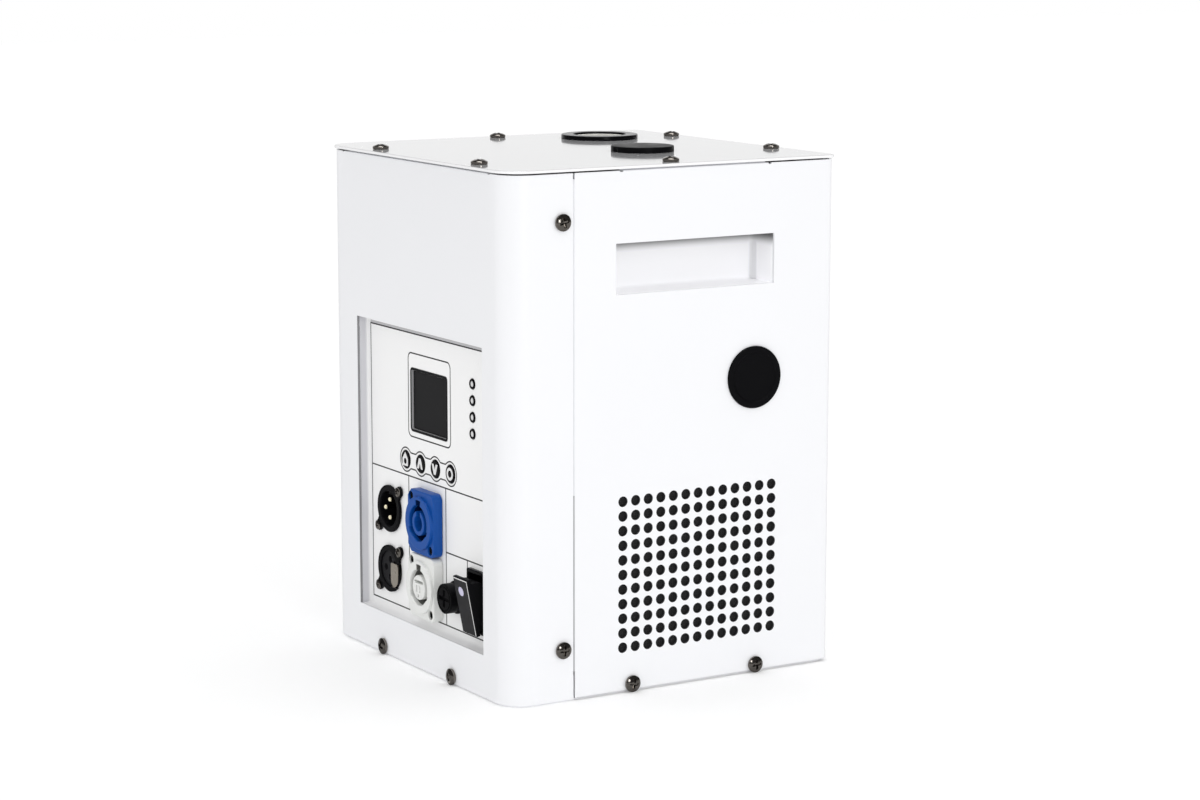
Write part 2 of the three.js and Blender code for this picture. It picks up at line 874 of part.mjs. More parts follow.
function fillerCap() {
  const seat = plateTop + clearance;
  const cap = solid(
    turned([
      [0, seat - capStubLength],
      [capStubRadius, seat - capStubLength],
      [capStubRadius, seat],
      [capRadius, seat],
      [capRadius, seat + capHeight],
      [0, seat + capHeight],
      [0, seat - capStubLength],
    ]),
  );
  const notches = [];
  for (let i = 0; i < capNotchCount; i += 1) {
    const turn = (2 * Math.PI * i) / capNotchCount;
    const span = [seat - overrun, seat + capNotchHeight];
    const x = capRadius * Math.cos(turn);
    const y = capRadius * Math.sin(turn);
    notches.push(rodZ(x, y, capNotchRadius, span, tinySides));
  }
  return cut(cap, ...notches);
}

place('filler_cap', fillerCap(), blackPlastic).position.set(fillerX, fillerY, 0);

// Feed group: its own X runs from the filler's axis towards the nozzle

const feed = new THREE.Group();
feed.position.set(fillerX, fillerY, 0);
feed.rotation.z = feedAngle;
machine.add(feed);

// Hopper: neck under the plate, round body, cone, and the feed tube across its bottom

function hopper() {
  const neck = neckBore + hopperWall;
  const tubeEnd = feedReach - tubeRadius - clearance;
  const outside = solid(
    turned([
      [0, rimTop],
      [0, feedZ],
      [spoutRadius + hopperWall, feedZ],
      [spoutRadius + hopperWall, spoutZ],
      [hopperRadius, hopperConeZ],
      [hopperRadius, hopperTopZ],
      [neck, hopperShoulderZ],
      [neck, rimTop - hopperFlangeThickness],
      [hopperFlangeRadius, rimTop - hopperFlangeThickness],
      [hopperFlangeRadius, rimTop],
      [0, rimTop],
    ]),
  );
  const inside = solid(
    turned([
      [0, rimTop + overrun],
      [0, feedZ],
      [spoutRadius, feedZ],
      [spoutRadius, spoutZ],
      [hopperRadius - hopperWall, hopperConeZ + hopperWall],
      [hopperRadius - hopperWall, hopperTopZ - hopperWall],
      [neckBore, hopperShoulderZ - hopperWall],
      [neckBore, rimTop + overrun],
      [0, rimTop + overrun],
    ]),
  );
  const tube = rodX(0, feedZ, feedTubeRadius, [-feedTubeTail, tubeEnd]);
  const bore = rodX(0, feedZ, feedTubeBore, [-feedTubeTail - overrun, tubeEnd + overrun]);
  return cut(join(outside, tube), inside, bore);
}

place('hopper', hopper(), clearPlastic, feed);

// Feed auger: a flat bar twisted into a screw, with a shaft into the motor

function augerScrew() {
  const start = -feedTubeTail + clearance;
  const end = feedReach - tubeRadius - clearance;
  const steps = Math.round(((end - start) / augerPitch) * augerStepsPerTurn);
  const positions = [];
  const triangles = [];
  for (let i = 0; i <= steps; i += 1) {
    const x = start + ((end - start) * i) / steps;
    const twist = (2 * Math.PI * (x - start)) / augerPitch;
    for (let j = 0; j < augerSides; j += 1) {
      const around = (2 * Math.PI * j) / augerSides;
      const along = augerRadius * Math.cos(around);
      const across = augerCore * Math.sin(around);
      const y = along * Math.cos(twist) - across * Math.sin(twist);
      const z = along * Math.sin(twist) + across * Math.cos(twist);
      positions.push(x, y, feedZ + z);
    }
  }
  for (let i = 0; i < steps; i += 1) {
    for (let j = 0; j < augerSides; j += 1) {
      const a = i * augerSides + j;
      const b = i * augerSides + ((j + 1) % augerSides);
      triangles.push(a, b, a + augerSides, b, b + augerSides, a + augerSides);
    }
  }
  const last = steps * augerSides;
  for (let j = 1; j < augerSides - 1; j += 1) {
    triangles.push(0, j + 1, j, last, last + j, last + j + 1);
  }
  const geometry = new THREE.BufferGeometry();
  geometry.setAttribute('position', new THREE.Float32BufferAttribute(positions, 3));
  geometry.setIndex(triangles);
  const shaftX = [start - clearance - augerShaftLength, start + augerPitch];
  return join(solid(geometry), rodX(0, feedZ, augerShaftRadius, shaftX, augerSides));
}

place('feed_auger', augerScrew(), brightSteel, feed);

// Feed motor: on the tail of the feed tube, with a bore for the auger's shaft

const motorFace = -feedTubeTail - clearance;
const motorBody = rodX(0, feedZ, motorRadius, [motorFace - motorLength, motorFace]);
const motorBoreX = [motorFace - augerShaftLength - clearance, motorFace + overrun];
const motorBore = rodX(0, feedZ, augerShaftRadius + clearance, motorBoreX, augerSides);
place('feed_motor', cut(motorBody, motorBore), darkSteel, feed);

// Cooling fan: a square frame behind the right mesh filter, with its wheel

const fanFaceX = behindX - filterThickness - clearance;
const fanBackX = fanFaceX - fanThickness;

function fanFrame() {
  const half = fanSize / 2;
  const span = [fanBackX, fanFaceX];
  const frame = block(span, [ventY - half, ventY + half], [ventZ - half, ventZ + half]);
  const bore = rodX(ventY, ventZ, fanBoreRadius, [fanBackX - overrun, fanFaceX + overrun]);
  const strutX = [fanBackX, fanBackX + fanStrutThickness];
  const bar = fanStrutWidth / 2;
  const upright = block(strutX, [ventY - bar, ventY + bar], [ventZ - half, ventZ + half]);
  const level = block(strutX, [ventY - half, ventY + half], [ventZ - bar, ventZ + bar]);
  const hub = rodX(ventY, ventZ, fanHubRadius, strutX, smallSides);
  return join(cut(frame, bore), upright, level, hub);
}

place('fan_frame', fanFrame(), blackPlastic);

function fanWheel() {
  const start = fanBackX + fanStrutThickness + clearance;
  const span = [start, start + fanRotorLength];
  const blades = [];
  for (let i = 0; i < fanBladeCount; i += 1) {
    const length = fanBladeTip;
    const blade = new THREE.BoxGeometry(fanBladeChord, fanBladeThickness, length);
    blade.rotateZ((fanBladeTilt * Math.PI) / 180);
    blade.translate((span[0] + span[1]) / 2, 0, length / 2);
    blade.rotateX((2 * Math.PI * i) / fanBladeCount);
    blade.translate(0, ventY, ventZ);
    blades.push(solid(blade));
  }
  return join(rodX(ventY, ventZ, fanHubRadius, span, smallSides), ...blades);
}

place('fan_wheel', fanWheel(), blackPlastic);

// Power supply: a closed metal case with a mounting lip at each end, on the tray's floor

const supplyFoot = trayFloor + clearance;
const supplyLeft = -sideFace + supplyFromLeft;
const supplyRight = fanBackX - supplyFanGap;
const supplyY = [frontFace + supplyFromFront, nozzleY - blowerRadius - supplyBlowerGap];
const supplyCase = block([supplyLeft, supplyRight], supplyY, [supplyFoot, supplyFoot + supplyHeight]);
const supplyBase = block(
  [supplyLeft - supplyLip, supplyRight + supplyLip],
  supplyY,
  [supplyFoot, supplyFoot + supplyLipThickness],
);
place('power_supply', join(supplyCase, supplyBase), zincSteel);

// Control panel: a shallow tray whose rim reaches forward to the back of the front cover

const lightZs = Array.from({ length: lightCount }, (_, i) => lightTopZ - i * lightPitch);
const buttonXs = Array.from(
  { length: buttonCount },
  (_, i) => windowX + buttonOffset + (i - (buttonCount - 1) / 2) * buttonPitch,
);
const socketZs = [socketZ, socketZ - socketPitch];
const powerZs = [powerZ, powerZ - powerPitch];
const windowSpanX = [windowX - windowWidth / 2, windowX + windowWidth / 2];
const windowSpanZ = [windowZ - windowHeight / 2, windowZ + windowHeight / 2];

function controlPanel() {
  const hollowX = [openingLeft - clearance, openingRight + clearance];
  const hollowZ = [openingBottom - clearance, openingTop + clearance];
  const outer = block(
    [hollowX[0] - sheet, hollowX[1] + sheet],
    [frontFace + sheet + clearance, panelBack],
    [hollowZ[0] - sheet, hollowZ[1] + sheet],
  );
  const hollow = block(hollowX, [frontFace, panelFace], hollowZ);
  const through = [panelFace - overrun, panelBack + overrun];
  const corners = [windowCorner, windowCorner, windowCorner, windowCorner];
  const window = sweepY(roundedRectangle(windowSpanX, windowSpanZ, corners), through);
  const switchHalfX = switchBodyWidth / 2 + clearance;
  const switchHalfZ = switchBodyHeight / 2 + clearance;
  const switchHole = block(
    [switchX - switchHalfX, switchX + switchHalfX],
    through,
    [switchZ - switchHalfZ, switchZ + switchHalfZ],
  );
  return cut(
    outer,
    hollow,
    window,
    switchHole,
    ...lightZs.map((z) => rodY(lightX, z, lightRadius + clearance, through, tinySides)),
    ...buttonXs.map((x) => rodY(x, buttonZ, buttonRadius + clearance, through, smallSides)),
    ...socketZs.map((z) => rodY(socketX, z, socketBarrelRadius + clearance, through)),
    ...powerZs.map((z) => rodY(powerX, z, powerBarrelRadius + clearance, through)),
    rodY(fuseX, fuseZ, fuseBarrelRadius + clearance, through, smallSides),
  );
}

place('control_panel', controlPanel(), whitePaint);

// Display window: a clear lens behind the panel's window

const lensX = [windowSpanX[0] - lensMargin, windowSpanX[1] + lensMargin];
const lensZ = [windowSpanZ[0] - lensMargin, windowSpanZ[1] + lensMargin];
const lensFront = panelBack + clearance;
place('display_window', block(lensX, [lensFront, lensFront + lensThickness], lensZ), darkGlass);

// Control board: circuit board with standoffs, the display module, key switches and status lights

const boardFront = panelFace + boardSetback;

function controlBoard() {
  const boardX = [openingLeft + boardMargin, openingRight - boardMargin];
  const board = block(boardX, [boardFront, boardFront + boardThickness], [boardBottom, boardTop]);
  const into = boardFront + boardThickness / 2;
  const display = block(lensX, [lensFront + lensThickness + clearance, into], lensZ);
  const pieces = [board, display];
  for (const x of [boardX[0] + standoffRadius, boardX[1] - standoffRadius]) {
    for (const z of [boardBottom + standoffRadius, boardTop - standoffRadius]) {
      pieces.push(rodY(x, z, standoffRadius, [panelBack + clearance, into], tinySides));
    }
  }
  for (const x of buttonXs) {
    const half = keySwitchSize / 2;
    const span = [boardFront - keySwitchHeight, into];
    pieces.push(block([x - half, x + half], span, [buttonZ - half, buttonZ + half]));
  }
  for (const z of lightZs) {
    pieces.push(rodY(lightX, z, lightRadius, [panelFace - lightProud, panelBack], tinySides));
    pieces.push(rodY(lightX, z, lightStemRadius, [panelFace, into], tinySides));
  }
  return join(...pieces);
}

place('control_board', controlBoard(), greenBoard);

// Push buttons: a round cap through the panel, a collar behind it and a stem to its key switch

function pushButton() {
  const stemEnd = boardFront - keySwitchHeight - buttonTravel - clearance;
  const collar = panelBack + clearance;
  return join(
    rodY(0, 0, buttonRadius, [panelFace - buttonProud, collar + buttonCollarThickness], smallSides),
    rodY(0, 0, buttonRadius + buttonCollar, [collar, collar + buttonCollarThickness], smallSides),
    rodY(0, 0, buttonStemRadius, [collar, stemEnd], tinySides),
  );
}

const buttonNames = ['menu', 'up', 'down', 'enter'];
buttonXs.forEach((x, i) => {
  place(`button_${buttonNames[i]}`, pushButton(), blackPlastic).position.set(x, 0, buttonZ);
});

// Three-pin sockets: a round rim with two screw ears on the panel and a barrel behind it

const rimFront = seatY - socketRimProud;

function socketShell() {
  const rim = rodY(0, 0, socketRimRadius, [rimFront, seatY]);
  const barrelEnd = panelFace + socketBarrelLength;
  const barrel = rodY(0, 0, socketBarrelRadius, [seatY - socketRimProud / 2, barrelEnd]);
  const ears = [];
  for (const side of [-1, 1]) {
    ears.push(rodY(side * earX, side * earZ, earRadius, [rimFront, seatY], smallSides));
    const webX = side * earX * earWebShare;
    const webZ = side * earZ * earWebShare;
    ears.push(rodY(webX, webZ, earWebRadius, [rimFront, seatY], smallSides));
  }
  return join(rim, barrel, ...ears);
}

const latchFront = rimFront - latchProud;

// The three contacts: two above each other on the axis, and one beside them.
const contactPlaces = [[0, pinCircle], [0, -pinCircle], [-pinCircle, 0]];

function maleSocket() {
  const floorY = rimFront + socketCavityDepth;
  const cavity = rodY(0, 0, socketCavityRadius, [rimFront - overrun, floorY]);
  const pins = contactPlaces.map(([x, z]) =>
    rodY(x, z, pinRadius, [rimFront + pinSetback, floorY + overrun], tinySides),
  );
  return join(cut(socketShell(), cavity), ...pins);
}

function femaleSocket() {
  const faceY = rimFront + insertSetback;
  const mouth = rodY(0, 0, socketCavityRadius, [rimFront - overrun, faceY]);
  const holes = contactPlaces.map(([x, z]) =>
    rodY(x, z, insertHoleRadius, [rimFront - overrun, faceY + insertHoleDepth], tinySides),
  );
  const pocket = block(
    [latchLeft - clearance, latchRight + clearance],
    [rimFront - overrun, latchFront + latchThickness + latchTravel + clearance],
    [-latchLow - clearance, latchHigh + clearance],
  );
  const slot = block(
    [latchLeft - clearance, latchLeft + tongueWidth + clearance],
    [rimFront - overrun, latchFront + tongueLength + latchTravel + clearance],
    [-tongueRise - clearance, tongueRise + clearance],
  );
  return cut(socketShell(), mouth, ...holes, pocket, slot);
}

place('socket_male', maleSocket(), blackPlastic).position.set(socketX, 0, socketZs[0]);
place('socket_female', femaleSocket(), blackPlastic).position.set(socketX, 0, socketZs[1]);

// Push latch of the female socket: a rounded tab that is pressed in to let the plug go, on a tongue

const latchCorners = [latchCorner, latchCorner, latchCorner, 0];
const latchOutline = roundedRectangle([latchLeft, latchRight], [-latchLow, latchHigh], latchCorners);
const latchTab = sweepY(latchOutline, [latchFront, latchFront + latchThickness]);
const tongue = block(
  [latchLeft, latchLeft + tongueWidth],
  [latchFront + latchThickness / 2, latchFront + tongueLength],
  [-tongueRise, tongueRise],
);
place('socket_latch', join(latchTab, tongue), brightSteel).position.set(socketX, 0, socketZs[1]);

// Power inlet and outlet: thick flange, raised round collar, keyed round socket and a centre post

function powerSocket() {
  const flangeFront = seatY - powerFlangeThickness;
  const collarFront = flangeFront - powerCollarProud;
  const halfX = powerFlangeWidth / 2;
  const halfZ = powerFlangeHeight / 2;
  const corner = powerFlangeCorner;
  const outline = roundedRectangle([-halfX, halfX], [-halfZ, halfZ], [corner, corner, corner, corner]);
  const flange = sweepY(outline, [flangeFront, seatY]);
  const collar = rodY(0, 0, powerCollarRadius, [collarFront, seatY - overrun]);
  const barrel = rodY(0, 0, powerBarrelRadius, [seatY - overrun, panelFace + powerBarrelLength]);
  const floorY = collarFront + powerCavityDepth;
  const cavity = rodY(0, 0, powerCavityRadius, [collarFront - overrun, floorY]);
  const keyHalf = powerKeyWidth / 2;
  const keyTop = powerCavityRadius + powerKeyReach;
  const key = block([-keyHalf, keyHalf], [collarFront - overrun, floorY], [0, keyTop]);
  const post = rodY(0, 0, powerPostRadius, [collarFront + powerPostSetback, floorY + overrun], smallSides);
  const screwHoles = [-1, 1].map((side) => {
    const span = [collarFront, flangeFront + powerScrewDepth];
    return rodY(side * powerScrewX, -side * powerScrewZ, powerScrewRadius, span, tinySides);
  });
  return join(cut(join(flange, collar, barrel), cavity, key, ...screwHoles), post);
}

place('power_inlet', powerSocket(), bluePlastic).position.set(powerX, 0, powerZs[0]);
place('power_outlet', powerSocket(), greyPlastic).position.set(powerX, 0, powerZs[1]);

// Fuse holder and its slotted cap

const fuseFront = seatY - fuseFlangeThickness;
const fuseBore = rodY(0, 0, fuseBoreRadius, [fuseFront - overrun, fuseFront + fuseBoreDepth], smallSides);
const fuseHolder = cut(
  join(
    rodY(0, 0, fuseFlangeRadius, [fuseFront, seatY]),
    rodY(0, 0, fuseBarrelRadius, [seatY - fuseFlangeThickness / 2, panelFace + fuseBarrelLength]),
  ),
  fuseBore,
);
place('fuse_holder', fuseHolder, blackPlastic).position.set(fuseX, 0, fuseZ);

function fuseCap() {
  const back = fuseFront - clearance;
  const front = back - fuseCapHeight;
  const stem = fuseBoreRadius - clearance;
  const slot = block(
    [-fuseSlotReach, fuseSlotReach],
    [front - overrun, front + fuseSlotDepth],
    [-fuseSlotWidth / 2, fuseSlotWidth / 2],
  );
  return cut(
    join(
      rodY(0, 0, fuseCapRadius, [front, back]),
      rodY(0, 0, stem, [back - clearance, back + fuseStemLength], smallSides),
    ),
    slot,
  );
}

place('fuse_cap', fuseCap(), blackPlastic).position.set(fuseX, 0, fuseZ);

// Rocker switch: housing with a bezel on the panel, and the rocker on its pivot

const bezelFront = seatY - bezelProud;

function switchHousing() {
  const bezel = block(
    [-bezelWidth / 2, bezelWidth / 2],
    [bezelFront, seatY],
    [-bezelHeight / 2, bezelHeight / 2],
  );
  const body = block(
    [-switchBodyWidth / 2, switchBodyWidth / 2],
    [seatY - bezelProud / 2, panelFace + switchBodyDepth],
    [-switchBodyHeight / 2, switchBodyHeight / 2],
  );
  const pocketHalf = rockerWidth / 2 + clearance;
  const pocket = block(
    [-pocketHalf, pocketHalf],
    [bezelFront - overrun, bezelFront + switchPocketDepth],
    [-switchPocketHeight / 2, switchPocketHeight / 2],
  );
  return cut(join(bezel, body), pocket);
}

place('switch_housing', switchHousing(), blackPlastic).position.set(switchX, 0, switchZ);

// The rocker's side view: flat front with a lip at each end, narrowing to a keel round the pivot.
function rocker() {
  const half = rockerLength / 2;
  const shoulder = rockerShoulder / 2;
  const waist = rockerWaist / 2;
  const keel = rockerKeelLength / 2;
  const shape = new THREE.Shape();
  shape.moveTo(-half, rockerReach);
  shape.lineTo(-half, rockerReach - rockerLip);
  shape.lineTo(-shoulder, rockerReach - rockerLip);
  shape.lineTo(-waist, 0);
  shape.lineTo(-keel, -rockerKeel);
  shape.lineTo(keel, -rockerKeel);
  shape.lineTo(waist, 0);
  shape.lineTo(shoulder, rockerReach - rockerLip);
  shape.lineTo(half, rockerReach - rockerLip);
  shape.lineTo(half, rockerReach);
  const geometry = new THREE.ExtrudeGeometry(shape, { depth: rockerWidth, bevelEnabled: false });
  geometry.translate(0, 0, -rockerWidth / 2);
  geometry.rotateY(Math.PI / 2);
  geometry.rotateX(Math.PI);
  return solid(geometry);
}

const rockerMesh = place('switch_rocker', rocker(), blackPlastic);
rockerMesh.position.set(switchX, panelFace - rockerPivotProud, switchZ);
rockerMesh.rotation.x = (rockerTilt * Math.PI) / 180;

// Screws: a domed pan head on a plain shank, drawn standing on Z = 0

const screwGeometry = turned([
  [0, -shankLength],
  [shankRadius, -shankLength],
  [shankRadius, 0],
  [headRadius, 0],
  [headRadius, headEdge],
  [headRadius * headTopShare, headHeight],
  [0, headHeight],
  [0, -shankLength],
], screwSides);
const screw = geometryOf(solid(screwGeometry));

// Each screw's head rests a clearance off the face that it holds, turned to point the way given.
function placeScrew(name, [x, y, z], [turnX, turnY]) {
  const mesh = place(name, screw, darkSteel);
  mesh.position.set(x, y, z);
  mesh.rotation.set(turnX, turnY, 0);
}

const quarterTurn = Math.PI / 2;
for (const [name, x, y] of topScrews) {
  placeScrew(`screw_top_${name}`, [x, y, plateTop + clearance], [0, 0]);
}
for (const [name, x] of [['left', bottomScrewXs[0]], ['right', bottomScrewXs[1]]]) {
  placeScrew(`screw_front_${name}`, [x, frontFace - clearance, bottomScrewZ], [quarterTurn, 0]);
  placeScrew(`screw_back_${name}`, [x, backPanelOuter + clearance, bottomScrewZ], [-quarterTurn, 0]);
}
for (const [side, sign] of [['left', -1], ['right', 1]]) {
  const x = sign * (sideFace + clearance);
  const turn = [0, sign * quarterTurn];
  placeScrew(`screw_wing_low_${side}`, [x, wingScrewY, wingScrewZs[0]], turn);
  placeScrew(`screw_wing_high_${side}`, [x, wingScrewY, wingScrewZs[1]], turn);
  placeScrew(`screw_side_front_${side}`, [x, sideScrewYs[0], bottomScrewZ], turn);
  placeScrew(`screw_side_back_${side}`, [x, sideScrewYs[1], bottomScrewZ], turn);
}

export default machine;
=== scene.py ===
# %% [markdown]
# # A cold spark machine in white sheet metal
# The real machine is a box of folded and painted steel. Metal granules fall from a hopper into a hot
# tube, and a small blower throws them out of the nozzle in the top plate as a fountain of sparks.
# The CAD model already has every part at its real size and place. This lesson makes each part that
# shows again as a finer surface, and gives every part its finish.

# %% Load the model
import math

import bmesh
import bpy
import numpy as np
from mathutils import Matrix, Vector
from mathutils.geometry import tessellate_polygon


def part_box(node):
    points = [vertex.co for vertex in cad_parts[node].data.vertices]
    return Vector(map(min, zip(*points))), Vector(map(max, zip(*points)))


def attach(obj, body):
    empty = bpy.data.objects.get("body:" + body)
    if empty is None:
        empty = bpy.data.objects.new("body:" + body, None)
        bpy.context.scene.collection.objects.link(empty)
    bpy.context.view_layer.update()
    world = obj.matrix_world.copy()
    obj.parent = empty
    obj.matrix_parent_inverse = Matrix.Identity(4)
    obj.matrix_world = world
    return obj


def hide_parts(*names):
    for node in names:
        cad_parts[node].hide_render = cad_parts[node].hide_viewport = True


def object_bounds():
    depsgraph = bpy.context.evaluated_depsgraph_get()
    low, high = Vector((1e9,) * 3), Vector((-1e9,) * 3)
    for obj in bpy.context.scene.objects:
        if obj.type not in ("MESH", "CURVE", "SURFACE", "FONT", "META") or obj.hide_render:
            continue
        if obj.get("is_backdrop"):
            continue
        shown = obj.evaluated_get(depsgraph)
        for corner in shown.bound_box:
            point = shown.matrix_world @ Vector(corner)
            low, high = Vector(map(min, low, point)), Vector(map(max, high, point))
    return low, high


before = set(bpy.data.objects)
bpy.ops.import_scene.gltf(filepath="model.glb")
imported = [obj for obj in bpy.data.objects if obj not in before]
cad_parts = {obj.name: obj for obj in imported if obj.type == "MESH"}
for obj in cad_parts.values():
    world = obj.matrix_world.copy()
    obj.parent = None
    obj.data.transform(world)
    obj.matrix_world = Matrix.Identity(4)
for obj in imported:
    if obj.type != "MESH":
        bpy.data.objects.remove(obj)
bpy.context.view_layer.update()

# %% [markdown]
# ## The camera
# The picture is a product photograph taken with a long lens from a little above the box, so its upright
# edges stay almost upright. A camera is placed by the point that it looks at: it stands back from that
# point along its own axis. The three numbers below turn it, and two more slide it sideways and up.

# %% Place the camera
azimuth = math.radians(58.45)
elevation = math.radians(9.514)
roll = math.radians(0.052)
stand_off = 1.5128
slide_right = 0.01145
slide_up = 0.1229
sensor_width = 36
focal_length = 90.486

back = Vector((math.sin(azimuth) * math.cos(elevation), -math.cos(azimuth) * math.cos(elevation),
               math.sin(elevation)))
level = Vector((math.cos(azimuth), math.sin(azimuth), 0))
upward = back.cross(level)
right = math.cos(roll) * level + math.sin(roll) * upward
above = math.cos(roll) * upward - math.sin(roll) * level

camera_data = bpy.data.cameras.new("product_camera")
camera_data.sensor_width = sensor_width
camera_data.lens = focal_length
camera = bpy.data.objects.new("product_camera", camera_data)
bpy.context.scene.collection.objects.link(camera)
place = back * stand_off + level * slide_right + upward * slide_up
axes = Matrix((right, above, back)).transposed().to_4x4()
camera.matrix_world = Matrix.Translation(place) @ axes
bpy.context.scene.camera = camera
print("camera at", [round(value, 3) for value in camera.matrix_world.translation])

# %% [markdown]
# ## Meshes from whole arrays
# Every new surface here is a grid of points, worked out all at once with numpy. A shape is a pair: its
# points in millimetres, and a list of blocks of faces. A function joins shapes, and another one turns a
# finished shape into a Blender object in metres. Drawing in millimetres keeps the numbers readable,
# because that is what the drawings of such a machine use.

# %% Grids and shapes
MM = 0.001


def grid_faces(rows, columns, close_rows=False, close_columns=False):
    """Four-cornered faces between neighbouring points of a grid, which may close on itself either way."""
    index = np.arange(rows * columns).reshape(rows, columns)
    index = np.vstack([index, index[:1]]) if close_rows else index
    index = np.hstack([index, index[:, :1]]) if close_columns else index
    corners = [index[:-1, :-1], index[:-1, 1:], index[1:, 1:], index[1:, :-1]]
    return np.stack(corners, axis=-1).reshape(-1, 4)


def surface(points, close_rows=False, close_columns=False, keep=None):
    """A grid of points (rows, columns, 3) as a shape, with only the faces that keep marks."""
    faces = grid_faces(*points.shape[:2], close_rows, close_columns)
    faces = faces if keep is None else faces[keep.ravel()]
    return points.reshape(-1, 3), [faces]


def joined(*shapes):
    """Several shapes as one: the points follow each other, and each face counts from its shape's start."""
    starts = np.cumsum([0] + [len(points) for points, _ in shapes])
    blocks = [block + start for (_, faces), start in zip(shapes, starts) for block in faces]
    return np.vstack([points for points, _ in shapes]), blocks


def moved(shape, offset):
    """A shape shifted by an offset in millimetres."""
    return shape[0] + np.asarray(offset, float), shape[1]


print("a grid of 3 by 4 points has", len(grid_faces(3, 4)), "faces")

# %% From a shape to a finished piece
merge_distance = 0.002


def mesh_from(name, shape, outward):
    """A mesh of the shape's used points, with its doubles merged and, where asked, its faces turned out."""
    points, blocks = shape
    used, renumbered = np.unique(np.concatenate([block.ravel() for block in blocks]), return_inverse=True)
    cuts = np.cumsum([block.size for block in blocks])[:-1]
    parts = [part.reshape(block.shape) for part, block in zip(np.split(renumbered, cuts), blocks)]
    mesh = bpy.data.meshes.new(name)
    mesh.from_pydata((points[used] * MM).tolist(), [], [face for part in parts for face in part.tolist()])
    merged = bmesh.new()
    merged.from_mesh(mesh)
    bmesh.ops.remove_doubles(merged, verts=merged.verts, dist=merge_distance * MM)
    if outward:
        bmesh.ops.recalc_face_normals(merged, faces=merged.faces)
    merged.to_mesh(mesh)
    merged.free()
    return mesh


def piece(name, shape, material, body="case", replaces=(), outward=True, crease=32):
    """A finished object at the origin that rides on a body. Edges sharper than crease degrees stay sharp."""
    mesh = mesh_from(name, shape, outward)
    mesh.shade_smooth()
    mesh.set_sharp_from_angle(angle=math.radians(crease))
    mesh.materials.append(material)
    made = bpy.data.objects.new(name, mesh)
    bpy.context.scene.collection.objects.link(made)
    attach(made, body)
    if replaces:
        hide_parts(*replaces)
    return made


def box_mm(node):
    """The lowest and highest corner of a CAD part, in millimetres."""
    low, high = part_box(node)
    return np.array(low) / MM, np.array(high) / MM


case_low, case_high = box_mm("front_cover")
print("front cover, mm:", np.round(case_low, 1), np.round(case_high, 1))

# %% [markdown]
# ## The studio
# The photograph has a pure white background and a soft, even light: a light tent, with a lamp on the
# right. The sky is an even white light, a little weaker for the object than for the camera. Mirrors see
# another room, as a photographer would build it with black and white cards: dark in front, the white
# backdrop behind, and a bright panel overhead. That keeps black plastic black and the glossy top pale.

# %% Helpers for nodes
scene = bpy.context.scene
scene.view_settings.view_transform = "Standard"
scene.cycles.max_bounces = 16
scene.cycles.diffuse_bounces = 12


def link_node(tree, kind, inputs=None, **settings):
    """A new node. Each input gets a value or a link from another node's output."""
    node = tree.nodes.new(kind)
    for name, value in settings.items():
        setattr(node, name, value)
    for key, value in (inputs or {}).items():
        if isinstance(value, bpy.types.NodeSocket):
            tree.links.new(value, node.inputs[key])
        else:
            node.inputs[key].default_value = value
    return node


def calc(tree, operation, *values):
    """The result of a Math node on one, two or three values."""
    return link_node(tree, "ShaderNodeMath", dict(enumerate(values)), operation=operation).outputs[0]


def ranged(tree, value, start, end, low=0.0, high=1.0, **settings):
    """How far a value lies from start to end, as a number from low to high that stops at both."""
    inputs = {"Value": value, "From Min": start, "From Max": end, "To Min": low, "To Max": high}
    return link_node(tree, "ShaderNodeMapRange", inputs, **settings).outputs[0]


def mixed(tree, share, first, second, **settings):
    """The first colour at a share of 0 and the second at 1."""
    return link_node(tree, "ShaderNodeMix", {"Factor": share, 6: first, 7: second}, data_type="RGBA",
                     **settings).outputs[2]


def dot_of(tree, vector, axis):
    """A vector's dot product with an axis."""
    return link_node(tree, "ShaderNodeVectorMath", {0: vector, 1: axis},
                     operation="DOT_PRODUCT").outputs["Value"]


def axes_of(tree, vector):
    """A vector's three numbers."""
    return link_node(tree, "ShaderNodeSeparateXYZ", {0: vector}).outputs


print("light bounces:", scene.cycles.max_bounces)

# %% The sky
sky_light = 0.97
seen_white = 1.0
dark_room = 0.07
overhead_glare = 8.0
backdrop_cosines = (-0.55, -0.85)
ceiling_cosines = (0.88, 0.94)
sky = bpy.data.worlds.new("light_tent")
sky.use_nodes = True
scene.world = sky
tree = sky.node_tree
tree.nodes.clear()
path = link_node(tree, "ShaderNodeLightPath").outputs
direction = link_node(tree, "ShaderNodeTexCoord").outputs["Generated"]
backdrop = ranged(tree, dot_of(tree, direction, tuple(back)), *backdrop_cosines, dark_room, seen_white)
ceiling = ranged(tree, axes_of(tree, direction)["Z"], *ceiling_cosines, 0.0, overhead_glare)
mirrored = calc(tree, "MAXIMUM", backdrop, ceiling)
seen = calc(tree, "MAXIMUM", path["Is Camera Ray"], path["Is Transmission Ray"])
lit = ranged(tree, seen, 0.0, 1.0, sky_light, seen_white)
strength = ranged(tree, path["Is Glossy Ray"], 0.0, 1.0, lit, mirrored)
glow = link_node(tree, "ShaderNodeBackground", {"Color": (1, 1, 1, 1), "Strength": strength})
link_node(tree, "ShaderNodeOutputWorld", {"Surface": glow.outputs[0]})
print("sky on the object:", sky_light, "behind it:", seen_white)

# %% [markdown]
# ## The lamp and the floor
# The lamp makes the right side a little brighter than the front. It is small and far, so the shadows stay
# faint and soft. The floor is white paper. It gives the camera some light of its own, so that it burns out
# to white, and still takes the soft shadow where the box stands. For mirrors it is greyer.

